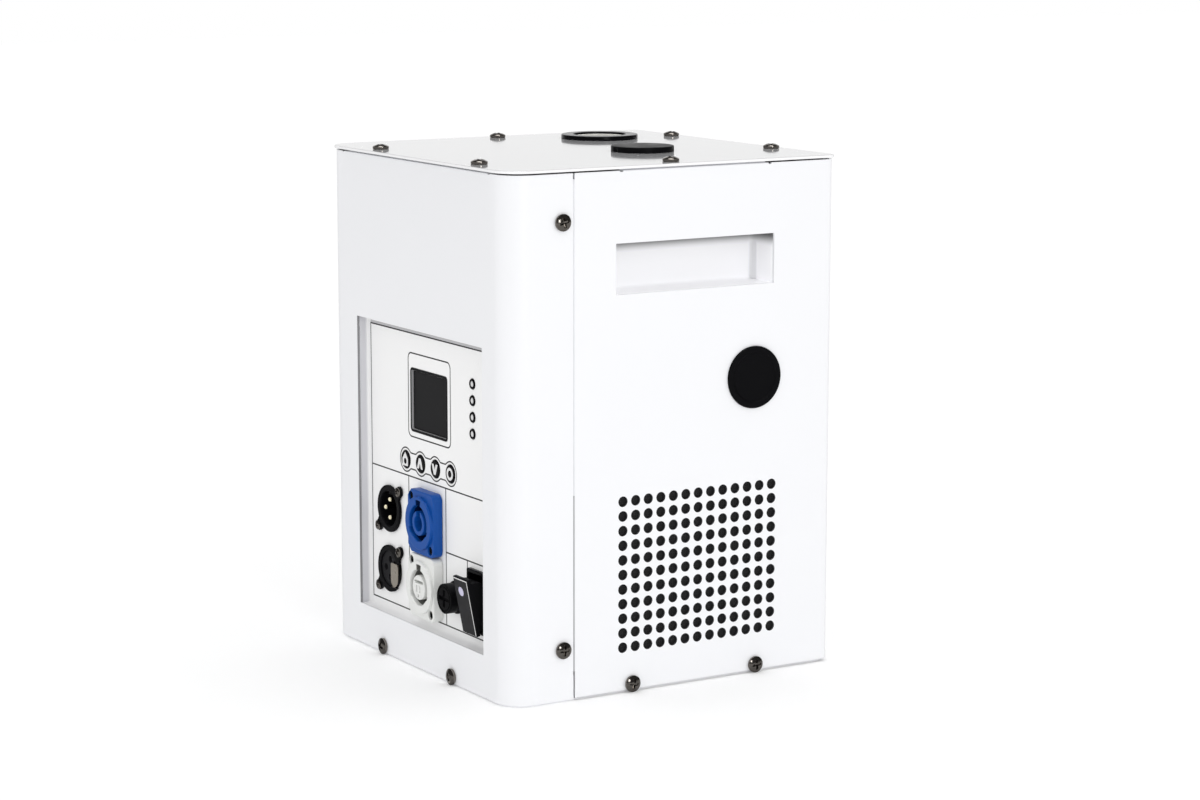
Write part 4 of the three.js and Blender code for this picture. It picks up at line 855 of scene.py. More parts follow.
def side_panel(mirror):
    """The panel's flat blank, punched and bent. Mirror is 1 for the right side and -1 for the left."""
    path = soften([(lip_x, lip_start), (lip_x, wall_start - joggle), (side_face, wall_start),
                   (side_face, back_face), (return_x, back_face)], [0, 0.4, 0.2, back_bend, 0], steps=8)
    on_wall = np.flatnonzero(np.isclose(path[:, 0], side_face))[-1]
    to_wall = lengths_along(path)[on_wall] - path[on_wall, 1]
    low = box_mm("side_panel_right")[0][2] + foot_gap
    profile = rim_profile(low)
    window = (to_wall + recess_y - recess_length / 2, to_wall + recess_y + recess_length / 2,
              recess_z - recess_height / 2, recess_z + recess_height / 2)
    plug = (to_wall + plug_y, plug_z, plug_hole, plug_hole + plug_reach)
    rims = [(to_wall + side_rim[0], to_wall + side_rim[1])]
    across = lines(lengths_along(path), window[:2], hole_lines(plug[0], *plug[2:], 12),
                   vent_lines(to_wall + vent_y, vent_columns), rims[0],
                   np.array(rims[0]) + (-notch_width, notch_width))
    heights = lines(low + lengths_along(profile), wall_top, wall_top - notch_depth, lip_z, window[2:],
                    hole_lines(plug[1], *plug[2:], 12), vent_lines(vent_z, vent_rows))
    u, v, keep = blank(across, heights, [plug], [window])
    middle_u, middle_v = np.meshgrid(between(across), between(heights))
    cell_u = vent_cell(middle_u, to_wall + vent_y, vent_columns)
    cell_v = vent_cell(middle_v, vent_z, vent_rows)
    keep &= np.maximum(np.abs(middle_u - cell_u), np.abs(middle_v - cell_v)) > vent_radius
    u, v = drawn_round(u, v, vent_cell(u, to_wall + vent_y, vent_columns), vent_cell(v, vent_z, vent_rows),
                       vent_radius, vent_pitch / 2)
    in_rim = (u > rims[0][0] - 0.01) & (u < rims[0][1] + 0.01)
    near_notch = (np.abs(middle_u - rims[0][0] + notch_width / 2) < notch_width / 2) | (
        np.abs(middle_u - rims[0][1] - notch_width / 2) < notch_width / 2)
    keep &= ~(near_notch & (middle_v > wall_top - notch_depth))
    keep &= ((middle_u > rims[0][0]) & (middle_u < rims[0][1])) | (middle_v < wall_top)
    in_lip = middle_u < to_wall + wall_start
    keep &= ~in_lip | ((middle_v > lip_z[0]) & (middle_v < lip_z[1]))
    inset, height = carried(v - low, profile)
    inset, height = np.where(in_rim, inset, 0), np.where(in_rim, height, v)
    x, y = carried(u, path)
    points = np.stack([mirror * (x - inset), y, height], axis=-1)
    return surface(points if mirror > 0 else points[:, ::-1], keep=keep if mirror > 0 else keep[:, ::-1])


print("recess window, mm:", recess_length, "by", recess_height)

# %% Both side panels
vent_top = vent_z + vent_rows * vent_pitch / 2
# The near-black edge colour on the vent holes and the window's edges is painted shade.
side_white_shaded_edges = finish("side_white_shaded_edges", painted_edge_shade, sheet_paint, 0.42, depth=0.006,
                    edge_colour=(0.06, 0.06, 0.065, 1), axis=(1, 0, 0), other_axis=(0, 0, 1),
                    plane=(side_face - edge_depth) * MM, limit=(vent_top + 2) * MM)
for side, mirror in (("right", 1), ("left", -1)):
    panel = piece(f"side_sheet_{side}", side_panel(mirror), side_white_shaded_edges,
                  replaces=[f"side_panel_{side}"], outward=False)
    sheet_metal(panel, sheet, edge=0.1)
    print(panel.name, "has", len(panel.data.polygons), "faces before its wall is added")

# %% [markdown]
# ## The back panel and the top plate
# The back panel is a flat sheet between the two rear corners, with its own rim. The top plate is a
# thicker, glossy sheet that stands a millimetre proud all round. Its corners are drawn round in the same
# way as a hole, and it has real holes under the nozzle ring and the filler cap, because the cap lifts out.

# %% Back panel
back_low, back_high = box_mm("back_panel")
back_path = np.array([[back_high[0], back_high[1]], [back_low[0], back_high[1]]])
back_middle = (back_high[0] - back_low[0]) / 2
back_across = lines(0, 2 * back_middle, back_middle + np.array(
    [-rim_half - notch_width, -rim_half, rim_half, rim_half + notch_width]))
back_shape = folded_wall(back_across, rim_profile(back_low[2] + foot_gap), back_path, (0, -1),
                         rims=[(back_middle - rim_half, back_middle + rim_half)])
back_panel = piece("back_sheet", back_shape, satin_white, replaces=["back_panel"],
                   outward=False)
sheet_metal(back_panel, sheet)
print("back panel, mm:", np.round(back_high - back_low, 1))

# %% Top plate
plate_low, plate_high = box_mm("top_plate")
plate_top = plate_high[2]
plate_front_corner = 14.0
plate_back_corner = 6.0
nozzle_low, nozzle_high = box_mm("nozzle_ring")
nozzle_x, nozzle_y = (nozzle_low[:2] + nozzle_high[:2]) / 2
filler_low, filler_high = box_mm("filler_cap")
filler_x, filler_y = (filler_low[:2] + filler_high[:2]) / 2
ring_neck = 15.2
cap_neck = 12.0
fit = 0.3
nozzle_hole = (nozzle_x, nozzle_y, ring_neck + fit, 19.0)
filler_hole = (filler_x, filler_y, cap_neck + fit, 15.0)


def top_plate():
    """A flat blank with two round holes and four rounded corners, at the plate's top."""
    across = lines(*[corner_lines(side * plate_high[0], radius) for side in (-1, 1)
                     for radius in (plate_front_corner, plate_back_corner)],
                   *[hole_lines(hole[0], hole[2], hole[3], 10) for hole in (nozzle_hole, filler_hole)])
    along = lines(corner_lines(plate_low[1], plate_front_corner),
                  corner_lines(plate_high[1], plate_back_corner),
                  *[hole_lines(hole[1], hole[2], hole[3], 10) for hole in (nozzle_hole, filler_hole)])
    x, y, keep = blank(across, along, [nozzle_hole, filler_hole])
    for edge_x in (plate_low[0], plate_high[0]):
        x, y = corner_round(x, y, edge_x, plate_low[1], plate_front_corner)
        x, y = corner_round(x, y, edge_x, plate_high[1], plate_back_corner)
    return surface(np.stack([x, y, np.full(x.shape, plate_top)], axis=-1), keep=keep)


top_sheet = piece("top_plate_sheet", top_plate(), gloss_white_shaded_top, replaces=["top_plate"],
                  outward=False)
sheet_metal(top_sheet, plate_high[2] - plate_low[2], edge=0.3)
print("top plate, mm:", np.round(plate_high - plate_low, 1))

# %% [markdown]
# ## Finger recesses
# Behind the window in each side panel sits a folded cup, deep enough for four fingers. It is one blank
# again: a floor, four walls and a flange. The height at a point is the greater of what the two bends ask
# for there, so the four corners close as they do in a pressed cup.

# %% A pressed cup
cup_low, cup_high = box_mm("recess_cup_right")
cup_flange = 5.0
cup_bend = 1.6


def pressed_cup(half_across, half_up, depth, flange, bend, grid_steps=4):
    """A cup drawn in X and Y with its floor at -depth and its rim at 0. Each direction has a profile of
    floor, wall and flange, and a point takes the greater of its two heights."""
    sides = []
    for half in (half_across, half_up):
        profile = soften([(0, -depth), (half, -depth), (half, 0), (half + flange, 0)], bend, steps=5)
        distance = lengths_along(profile)
        spread = lines(-distance, distance, np.linspace(-distance[1], distance[1], grid_steps))
        reach, height = carried(np.abs(spread), profile)
        sides.append((np.sign(spread) * reach, height))
    (x, height_x), (y, height_y) = sides
    across, upward_grid = np.meshgrid(x, y)
    height = np.maximum(*np.meshgrid(height_x, height_y))
    return surface(np.stack([across, upward_grid, height], axis=-1))


cup_depth = cup_high[0] - cup_low[0] - sheet
cup_shape = pressed_cup(recess_length / 2, recess_height / 2, cup_depth, cup_flange, cup_bend)
print("a cup has", len(cup_shape[0]), "points")

# %% Shapes set up on the four sides


def facing_right(shape, x, y, z):
    """A shape drawn in X and Y, set up on the right side: its height points along +X."""
    p = shape[0]
    return np.stack([x + p[:, 2], y + p[:, 0], z + p[:, 1]], axis=-1), shape[1]


def facing_left(shape, x, y, z):
    """The same on the left side: its height points along -X."""
    p = shape[0]
    return np.stack([x - p[:, 2], y - p[:, 0], z + p[:, 1]], axis=-1), shape[1]


def facing_front(shape, x, y, z):
    """The same on the front: its height points along -Y."""
    p = shape[0]
    return np.stack([x + p[:, 0], y - p[:, 2], z + p[:, 1]], axis=-1), shape[1]


def facing_back(shape, x, y, z):
    """The same on the back: its height points along +Y."""
    p = shape[0]
    return np.stack([x - p[:, 0], y + p[:, 2], z + p[:, 1]], axis=-1), shape[1]


sample = (np.array([[0, 0, 1.0]]), [])
print("a height of 1 on the front points to", facing_front(sample, 0, 0, 0)[0][0])

# %% Finger recesses
# The cup's finish paints shade into its colour under the recess's upper edge and in its end corners, and its
# glow paints light into the hollow.
cup_white_painted_shade = finish("cup_white_painted_shade", recess_painted_shade, (0.98, 0.98, 1.0), 0.42, depth=0.006, glow=0.15,
                   top=(recess_z + recess_height / 2) * MM, band=0.008, fade=0.019,
                   foot=(recess_height - 0.3) * MM, middle=recess_y * MM,
                   end=recess_length / 2 * MM, deepest=(cup_high[0] - cup_depth) * MM)
for side, facing, plane in (("right", facing_right, cup_high[0]), ("left", facing_left, -cup_high[0])):
    cup = piece(f"finger_cup_{side}", facing(cup_shape, plane, recess_y, recess_z), cup_white_painted_shade,
                replaces=[f"recess_cup_{side}"], outward=False)
    sheet_metal(cup, sheet, edge=0)
print("finger recess, mm:", recess_length, "by", recess_height, "by", round(cup_depth, 1), "deep")

# %% [markdown]
# ## Turned parts
# The nozzle ring, the spark tube, the caps and the plugs are round, so each is a profile turned about an
# axis. A profile is a closed line of radius and height. Its corners are softened first, because no real
# edge is perfectly sharp, and the small arcs catch a line of light.

# %% Turned shapes


def turned(profile, steps=96):
    """A profile of radius and height turned about the Z axis: x = r cos t, y = r sin t."""
    t = np.linspace(0, 2 * math.pi, steps, endpoint=False)
    radius, height = profile[:, :1], profile[:, 1:2]
    grid = np.stack([radius * np.cos(t), radius * np.sin(t), np.broadcast_to(height, (len(profile), steps))],
                    axis=-1)
    return surface(grid, close_columns=True)


def ring_profile(corners, radii, steps=4):
    """A closed profile with softened corners that ends where it starts."""
    line = soften(corners, radii, steps, closed=True)
    return np.vstack([line, line[:1]])


print("a turned washer has", len(turned(ring_profile([(1, 0), (2, 0), (2, 1), (1, 1)], 0.1))[0]), "points")

# %% Nozzle ring and spark tube
ring_outer = (nozzle_high[0] - nozzle_low[0]) / 2
tube_low, tube_high = box_mm("spark_tube")
tube_radius = 13.0
tube_wall = 1.4
ring_bore = tube_radius + 0.35
ring_top = nozzle_high[2]
ring_shape = turned(ring_profile(
    [(ring_bore, nozzle_low[2]), (ring_neck, nozzle_low[2]), (ring_neck, plate_top), (ring_outer, plate_top),
     (ring_outer, ring_top), (ring_bore, ring_top)], [0.2, 0.2, 0, 0.1, 0.5, 0.35]))
piece("nozzle_collar", moved(ring_shape, (nozzle_x, nozzle_y, 0)), black_gloss,
      replaces=["nozzle_ring"])

tube_foot = 20.0
tube_shape = turned(ring_profile(
    [(tube_radius - tube_wall, tube_low[2]), (tube_foot, tube_low[2]), (tube_foot, tube_low[2] + 2),
     (tube_radius, tube_low[2] + 2), (tube_radius, tube_high[2]), (tube_radius - tube_wall, tube_high[2])],
    [0.3, 0.4, 0.4, 1.0, 0.35, 0.35]))
piece("spark_chimney", moved(tube_shape, (nozzle_x, nozzle_y, 0)), tube_pale,
      replaces=["spark_tube"])
print("nozzle bore, mm:", 2 * ring_bore)

# %% Filler cap
cap_radius = (filler_high[0] - filler_low[0]) / 2
cap_notches = 8
cap_notch_depth = 0.9
cap_notch_share = 0.55
cap_notch_top = 1.3
cap_notch_fade = 0.4


def filler_cap():
    """A low cap with finger notches round its lower edge. The radius is the profile's, less a notch depth
    times a smooth wave of the angle, which fades out above the notches' height."""
    profile = ring_profile([(0, filler_low[2]), (cap_neck, filler_low[2]), (cap_neck, plate_top),
                            (cap_radius, plate_top), (cap_radius, filler_high[2]), (0, filler_high[2])],
                           [0, 0.6, 0, 0.15, 0.45, 0])
    steps = 192
    t = np.linspace(0, 2 * math.pi, steps, endpoint=False)
    wave = np.clip((np.cos(cap_notches * t) - cap_notch_share) / (1 - cap_notch_share), 0, 1)
    low_part = np.clip((plate_top + cap_notch_top - profile[:, 1]) / cap_notch_fade, 0, 1)
    low_part *= profile[:, 0] > cap_neck + 1
    radius = profile[:, :1] - cap_notch_depth * low_part[:, None] * wave
    height = np.broadcast_to(profile[:, 1:2], radius.shape)
    return surface(np.stack([radius * np.cos(t), radius * np.sin(t), height], axis=-1), close_columns=True)


piece("filler_lid", moved(filler_cap(), (filler_x, filler_y, 0)), black_plastic,
      body="filler", replaces=["filler_cap"])
print("filler cap, mm:", round(2 * cap_radius, 1))

# %% Side plugs
plug_low, plug_high = box_mm("side_plug_right")
plug_head = (plug_high[1] - plug_low[1]) / 2
plug_proud = plug_high[0] - side_face
plug_dish = plug_proud - 0.7
plug_outer, plug_inner = plug_hole - fit, plug_hole - fit - 2
plug_end = -5.5
plug_shape = turned(ring_profile(
    [(0, plug_dish), (plug_head - 3.4, plug_dish), (plug_head - 2.6, plug_proud),
     (plug_head, plug_proud), (plug_head, 0), (plug_outer, 0), (plug_outer, plug_end),
     (plug_inner, plug_end), (plug_inner, -1.0), (0, -1.0)],
    [0, 0.4, 0.4, 0.6, 0.1, 0, 0.4, 0.4, 0.4, 0]))
piece("knockout_plug_right", facing_right(plug_shape, side_face, plug_y, plug_z), plug_black,
      replaces=["side_plug_right"])
piece("knockout_plug_left", facing_left(plug_shape, -side_face, plug_y, plug_z), plug_black,
      replaces=["side_plug_left"])
print("plugs stand", round(plug_proud, 2), "mm proud")

# %% [markdown]
# ## Screws
# Eighteen pan-head screws hold the box together, and smaller ones hold the sockets. The head is a square
# grid drawn round at its rim, so that its lines can run straight along the arms of the cross recess. The
# height is a low dome, and inside the cross it drops to a tapered floor.

# %% A pan-head screw
head_radius = 4.0
head_height = 2.4
dome_fall = 0.46
recess_taper = 0.35


def boundary(count):
    """The numbers of the outer points of a square grid, once round."""
    index = np.arange(count * count).reshape(count, count)
    return np.concatenate([index[0, :-1], index[:-1, -1], index[-1, :0:-1], index[:0:-1, 0]])


def screw(radius, height, shank_radius, shank_length):
    """A pan head with a cross recess, drawn with its seat at zero. Ring m of the grid is a square near the
    middle and a circle at the rim. The dome is height times one less a share of (d / radius)^2.4."""
    arm = 0.58 * radius
    slot = 0.13 * radius
    wall = 0.025 * radius
    depth = 0.62 * height
    half = lines(0, slot - wall, slot + wall, 0.3 * radius, arm - wall, arm + wall,
                 np.linspace(0.7, 1, 5) * radius)
    grid = lines(-half, half)
    p, q = np.meshgrid(grid, grid)
    ring = np.maximum(np.abs(p), np.abs(q))
    share = np.clip((ring - arm) / (radius - arm), 0, 1)
    scale = 1 - share + share * ring / np.maximum(np.hypot(p, q), 1e-9)
    x, y = p * scale, q * scale
    distance = np.clip(np.hypot(x, y) / radius, 0, 1)
    dome = height * (1 - dome_fall * distance ** 2.4)
    in_cross = (np.minimum(np.abs(p), np.abs(q)) < slot) & (ring < arm)
    floor_height = height - depth * (1 - recess_taper * ring / arm)
    z = np.where(in_cross, floor_height, dome)
    head = surface(np.stack([x, y, z], axis=-1))
    rim = boundary(len(grid))
    rim_x, rim_y = x.ravel()[rim] / radius, y.ravel()[rim] / radius
    skirt = soften([(radius, (1 - dome_fall) * height), (radius, 0), (shank_radius, 0),
                    (shank_radius, -shank_length), (0, -shank_length)],
                   [0, 0.12 * radius, 0, 0.1 * radius, 0], steps=3)
    rings = np.stack([skirt[:, :1] * rim_x, skirt[:, :1] * rim_y,
                      np.broadcast_to(skirt[:, 1:], (len(skirt), len(rim)))], axis=-1)
    return joined(head, surface(rings, close_columns=True))


def turned_round(shape, angle):
    """A shape turned about the Z axis by an angle in degrees."""
    c, s = math.cos(math.radians(angle)), math.sin(math.radians(angle))
    p = shape[0]
    return np.stack([c * p[:, 0] - s * p[:, 1], s * p[:, 0] + c * p[:, 1], p[:, 2]], axis=-1), shape[1]


case_screw = screw(head_radius, head_height, 1.95, 5.0)
print("a screw has", len(case_screw[0]), "points")

# %% Eighteen screws on the box
screw_names = sorted(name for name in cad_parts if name.startswith("screw_"))
for count, name in enumerate(screw_names):
    low, high = box_mm(name)
    middle = (low + high) / 2
    shape = turned_round(case_screw, 37 * count % 90)
    if "_top_" in name:
        shape = moved(shape, (middle[0], middle[1], plate_top))
    elif "_front_" in name and "side" not in name:
        shape = facing_front(shape, middle[0], front_face, middle[2])
    elif "_back_" in name and "side" not in name:
        shape = facing_back(shape, middle[0], back_high[1], middle[2])
    elif name.endswith("right"):
        shape = facing_right(shape, side_face, middle[1], middle[2])
    else:
        shape = facing_left(shape, -side_face, middle[1], middle[2])
    piece(f"pan_head_{name[6:]}", shape, nickel_dark, replaces=[name], crease=25)
print("screws:", len(screw_names))

# %% [markdown]
# ## Plates with holes
# Most parts of the control panel are flat plates with rounded edges and holes: the tray, the flanges, the
# switch's bezel, and even the printed lines. A plate is its outline carried up a side view, and each hole
# is a loop that runs the other way and is carried up too. The flat face between the loops is filled with
# triangles. A narrow flat ring round that face keeps its shading even, so the triangles never show.

# %% Outlines and side views
flat_ring = 0.05


def circle(x, y, radius, steps=48):
    """Points round a circle: x + r cos t and y + r sin t."""
    t = np.linspace(0, 2 * math.pi, steps, endpoint=False)
    return np.stack([x + radius * np.cos(t), y + radius * np.sin(t)], axis=-1)


def box_outline(x0, x1, y0, y1, radii=0.0, steps=6):
    """A rectangle from its low left corner, counterclockwise. Each corner may have a radius of its own."""
    return soften([(x0, y0), (x1, y0), (x1, y1), (x0, y1)], radii, steps, closed=True)


def eased(loop, distance):
    """A closed loop moved to its left. With the unit normals of a point's two edges added up to m, the
    point moves by 2 · distance · m / |m|²."""
    edge = np.roll(loop, -1, axis=0) - loop
    normal = np.stack([-edge[:, 1], edge[:, 0]], axis=-1) / np.linalg.norm(edge, axis=1, keepdims=True)
    middle = normal + np.roll(normal, 1, axis=0)
    return loop + 2 * distance * middle / np.sum(middle * middle, axis=1, keepdims=True)


def top_edge(low, high, edge, steps=3):
    """A side view of inset and height: straight up, a quarter circle, and the narrow flat ring."""
    turn = np.linspace(0, math.pi / 2, steps + 1)
    arc = np.stack([edge * (1 - np.cos(turn)), high - edge * (1 - np.sin(turn))], axis=-1)
    return np.vstack([[(0, low)], arc, [(edge + flat_ring, high)]])


def both_edges(low, high, edge, steps=3):
    """The same with the low edge rounded too: the top edge's side view, and before it its mirror image."""
    upper = top_edge(low + edge, high, edge, steps)
    lower = upper[:0:-1] * (1, -1) + (0, low + high)
    return np.vstack([lower, upper[1:]])


print("a rounded box has", len(box_outline(0, 2, 0, 1, 0.2)), "points in its outline")

# %% Plates


def filled(loops):
    """The flat face inside the first loop and outside the others, as triangles."""
    triangles = tessellate_polygon([loop.tolist() for loop in loops])
    return np.vstack(loops), [np.array(triangles)]


def plate(outline, holes, low, high, edge=0.3, side_view=None, hole_edge=None):
    """A closed flat plate. Every loop is carried up a side view, and the two flat faces are filled."""
    outer = top_edge(low, high, edge) if side_view is None else side_view
    inner = top_edge(low, high, edge if hole_edge is None else hole_edge)
    walls = []
    for loop, view in [(outline, outer), *[(hole[::-1], inner) for hole in holes]]:
        walls.append(np.stack([np.column_stack([eased(loop, inset), np.full(len(loop), height)])
                               for inset, height in view]))
    return joined(*[surface(wall, close_columns=True) for wall in walls],
                  filled([wall[-1] for wall in walls]), filled([wall[0] for wall in walls]))


print("a washer has", len(plate(circle(0, 0, 5), [circle(0, 0, 2.5)], 0, 1)[0]), "points")

# %% [markdown]
# ## The control panel's tray
# Behind the front cover's window sits a shallow tray. Its wall reaches forward to the back of the cover
# and turns into its face with a soft bend, which is the pale band that shows inside the window's edge. All
# the fittings go through real holes in its face.

# %% Places on the panel
tray_low, tray_high = box_mm("control_panel")
panel_face = tray_high[1] - sheet
tray_bend = 2.4
tray_fit = 0.3
tray_wall = (opening_x[0] - tray_fit, opening_x[1] + tray_fit,
             opening_z[0] - tray_fit, opening_z[1] + tray_fit)
tray_rise = panel_face - tray_low[1]
button_names = ("menu", "up", "down", "enter")


def middle_mm(node):
    """The middle of a CAD part's box, in millimetres."""
    return sum(box_mm(node)) / 2


button_x = np.array([middle_mm(f"button_{name}")[0] for name in button_names])
button_z = middle_mm("button_menu")[2]
socket_places = [middle_mm(name)[[0, 2]] for name in ("socket_male", "socket_female")]
power_places = [middle_mm(name)[[0, 2]] for name in ("power_inlet", "power_outlet")]
fuse_x, _, fuse_z = middle_mm("fuse_holder")
switch_x, _, switch_z = middle_mm("switch_housing")
light_x = 45.9
light_z = 146.1 - 7.9 * np.arange(4)
window_x, _, window_z = middle_mm("display_window")
window_half = (18.75, 15.75)
window_corner = 2.0


def window_outline(inset, radius):
    """The display window's outline, drawn smaller by an inset."""
    half_x, half_z = window_half[0] - inset, window_half[1] - inset
    return box_outline(window_x - half_x, window_x + half_x, window_z - half_z, window_z + half_z, radius)


print("panel face at Y", round(panel_face, 2), "mm")

# %% Tray
tray_lip = 6.0
tray_side = np.vstack([soften([(tray_lip, -sheet), (-sheet, -sheet), (-sheet, tray_rise)], tray_bend + sheet),
                       soften([(0, tray_rise), (0, 0), (tray_lip, 0)], tray_bend)])
light_hole, key_radius, fuse_barrel = 2.4, 4.4, 6.0
socket_barrel, power_barrel = 10.6, 11.8
switch_half = (8.3, 14.3)
tray_holes = [window_outline(0, window_corner),
              *[circle(light_x, z, light_hole + fit, 16) for z in light_z],
              *[circle(x, button_z, key_radius + fit, 32) for x in button_x],
              *[circle(*place, socket_barrel + fit) for place in socket_places],
              *[circle(*place, power_barrel + fit) for place in power_places],
              circle(fuse_x, fuse_z, fuse_barrel + fit, 32),
              box_outline(switch_x - switch_half[0], switch_x + switch_half[0],
                          switch_z - switch_half[1], switch_z + switch_half[1])]
# The grey edge colour on the tray's walls paints the shade inside the window's edge.
tray_white_shaded_walls = finish("tray_white_shaded_walls", painted_edge_shade, (0.91, 0.91, 0.91), 0.45, depth=0.004,
                    edge_colour=(0.62, 0.62, 0.65, 1), axis=(0, 1, 0), other_axis=(1, 0, 0),
                    level_share=0.2)
tray = plate(box_outline(*tray_wall), tray_holes, -sheet, 0, edge=0.1, side_view=tray_side)
piece("panel_tray", facing_front(tray, 0, panel_face, 0), tray_white_shaded_walls,
      replaces=["control_panel"])
print("holes in the tray:", len(tray_holes))

# %% [markdown]
# ## The printed lines
# Thin grey lines are screen-printed on the tray's face: a border, the divisions between the groups of
# fittings, a frame round the display, and one scalloped outline round the four buttons. Each line is a
# plate only a few hundredths of a millimetre thick, so it stays sharp at any distance. A grey band above
# the border gives the shade that the cover throws there.

# %% How a line is printed
ink_height = 0.03
ink_edge = 0.01
ink_width = 0.68
border = (-57.0, 62.5, 25.0, 162.6)
divider_z = 92.0
fuse_line_z = 60.8
column_x = (-18.5, 19.0)
fuse_column_x = 39.8


def printed_loop(loop, width=ink_width):
    """A closed line: the ground between the loop moved out and moved in by half the width."""
    return plate(eased(loop, -width / 2), [eased(loop, width / 2)], 0, ink_height, edge=ink_edge)


def printed_line(x0, x1, z0, z1):
    """A straight line between two places, level or upright, which stops short of the lines at its ends."""
    half = ink_width / 2
    level = (x0 + half, x1 - half, z0 - half, z0 + half)
    upright = (x0 - half, x0 + half, z0 + half, z1 - half)
    return plate(box_outline(*(level if z0 == z1 else upright)), [], 0, ink_height, edge=ink_edge)


def scalloped(centres, z, radius, neck, steps=90):
    """The outline of circles joined by a straight neck. Between the end circles its half height is the
    softer maximum (neck⁸ + bump⁸)^⅛, where bump is the nearest circle's height. The ends are half circles."""
    x = np.linspace(centres[-1], centres[0], steps)
    nearest = centres[np.abs(x[:, None] - centres).argmin(axis=1)]
    bump = np.sqrt(np.clip(radius ** 2 - (x - nearest) ** 2, 0, None))
    half = (neck ** 8 + bump ** 8) ** 0.125
    t = np.linspace(-math.pi / 2, math.pi / 2, 18)[1:-1]
    ends = np.stack([centres[-1] + radius * np.cos(t), z + radius * np.sin(t)], axis=-1)
    starts = np.stack([centres[0] - radius * np.cos(t), z - radius * np.sin(t)], axis=-1)
    return np.vstack([ends, np.stack([x, z + half], axis=-1), starts,
                      np.stack([x[::-1], z - half[::-1]], axis=-1)])


print("lines are", ink_width, "mm wide")

# %% Printed lines
lcd_frame = box_outline(-18.0, 24.2, 112.0, 153.0, 3.0)
print_shapes = [
    printed_loop(box_outline(*border)),
    printed_line(border[0], border[1], divider_z, divider_z),
    printed_line(column_x[1], border[1], fuse_line_z, fuse_line_z),
    *[printed_line(x, x, border[2], divider_z) for x in column_x],
    printed_line(fuse_column_x, fuse_column_x, border[2], fuse_line_z),
    printed_loop(lcd_frame),
    printed_loop(scalloped(button_x, button_z, 5.9, 3.9))]
piece("panel_lines", facing_front(joined(*print_shapes), 0, panel_face, 0), ink_grey)
top_band = plate(box_outline(border[0], border[1], border[3] + ink_width / 2, opening_z[1] - 0.2), [], 0,
                 ink_height / 2, edge=0.005)
piece("panel_top_band", facing_front(top_band, 0, panel_face, 0), band_grey)
print("printed lines:", len(print_shapes))

# %% [markdown]
# ## The display and the status lights
# The display sits a millimetre behind the panel. A thin black frame covers the edge of its cut-out, the
# pale wall of the cut-out shows as a line at the left and the bottom, and the dark screen lies behind. The
# four status lights are white lenses in black rings.

# %% Display and lights
frame_band = 1.15
screen_depth = 1.1
lens_high = panel_face - box_mm("display_window")[0][1]
lens_low = panel_face - box_mm("display_window")[1][1]
frame_outer = window_outline(0.15, window_corner)
frame_inner = window_outline(0.15 + frame_band, 0.8)
frame_ring = plate(frame_outer, [frame_inner], 0.02, 0.12, edge=0.04)
piece("display_frame", facing_front(frame_ring, 0, panel_face, 0), black_gloss,
      replaces=["display_window"])
wall_ring = plate(frame_outer, [window_outline(0.2 + frame_band, 0.8)], -screen_depth, 0.02, edge=0.02)
piece("display_wall", facing_front(wall_ring, 0, panel_face, 0), screen_edge,
      replaces=["display_window"])
lens_block = joined(plate(window_outline(-2.0, 1.0), [], lens_low, lens_high, edge=0.2),
                    plate(window_outline(0.4, 1.8), [], lens_high - 0.2, -screen_depth, edge=0.05))
piece("display_lens", facing_front(lens_block, 0, panel_face, 0), black_gloss,
      replaces=["display_window"])
screen_area = plate(window_outline(0.8 + frame_band, 0.3), [], -screen_depth, -screen_depth + ink_height,
                    edge=ink_edge)
piece("display_screen", facing_front(screen_area, 0, panel_face, 0), screen_glass,
      replaces=["display_window"])
print("screen, mm:", round(2 * (window_half[0] - frame_band), 1), "wide")

# %% Status lights
lens_radius = 1.57
light_ring = turned(ring_profile([(1.55, -0.4), (2.45, -0.4), (2.45, 0.62), (1.55, 0.62)],
                                 [0, 0, 0.3, 0.2]), 32)
dome = np.linspace(0, math.pi / 2, 6)
lens_profile = np.vstack([np.stack([lens_radius * np.sin(dome), -0.05 + 0.75 * np.cos(dome)], axis=-1),
                          [(lens_radius, -3.0), (0, -3.0)]])
light_lens = turned(lens_profile, 32)
for count, z in enumerate(light_z, start=1):
    piece(f"status_ring_{count}", facing_front(light_ring, light_x, panel_face, z), black_gloss,
          replaces=["control_board"])
    piece(f"status_lens_{count}", facing_front(light_lens, light_x, panel_face, z), lens_white,
          replaces=["control_board"])
print("lights:", len(light_z))

# %% [markdown]
# ## The control board
# Behind the panel a circuit board carries the display module, the button switches and the lights' lenses.
# It stands on four threaded pillars. It can't be seen from outside, but the machine has to hold it, and it
# is there when the front cover comes off.

# %% Control board
board_front = panel_face + 12.0
board_inset = 6
board_x = (opening_x[0] + board_inset, opening_x[1] - board_inset)
board_z = (92.0, 160.0)
board_thickness = 1.6
pillar_radius = 2.5
pillar_x = (board_x[0] + pillar_radius, board_x[1] - pillar_radius)
pillar_z = (board_z[0] + pillar_radius, board_z[1] - pillar_radius)
pillar_places = [(x, z) for x in pillar_x for z in pillar_z]
board = plate(box_outline(*board_x, *board_z, 2.0), [circle(x, z, 1.6, 20) for x, z in pillar_places],
              -board_thickness, 0, edge=0.1)
piece("circuit_board", facing_front(board, 0, board_front, 0), board_green,
      replaces=["control_board"])
module_high = board_front - panel_face + lens_low - 0.3
module = joined(plate(window_outline(-2.0, 0.5), [], 0, 2.0, edge=0.1),
                plate(window_outline(-1.0, 0.5), [], 2.0, module_high, edge=0.3))
piece("display_module", facing_front(module, 0, board_front, 0), black_plastic,
      replaces=["control_board"])
print("board, mm:", round(board_x[1] - board_x[0], 1), "by", board_z[1] - board_z[0])

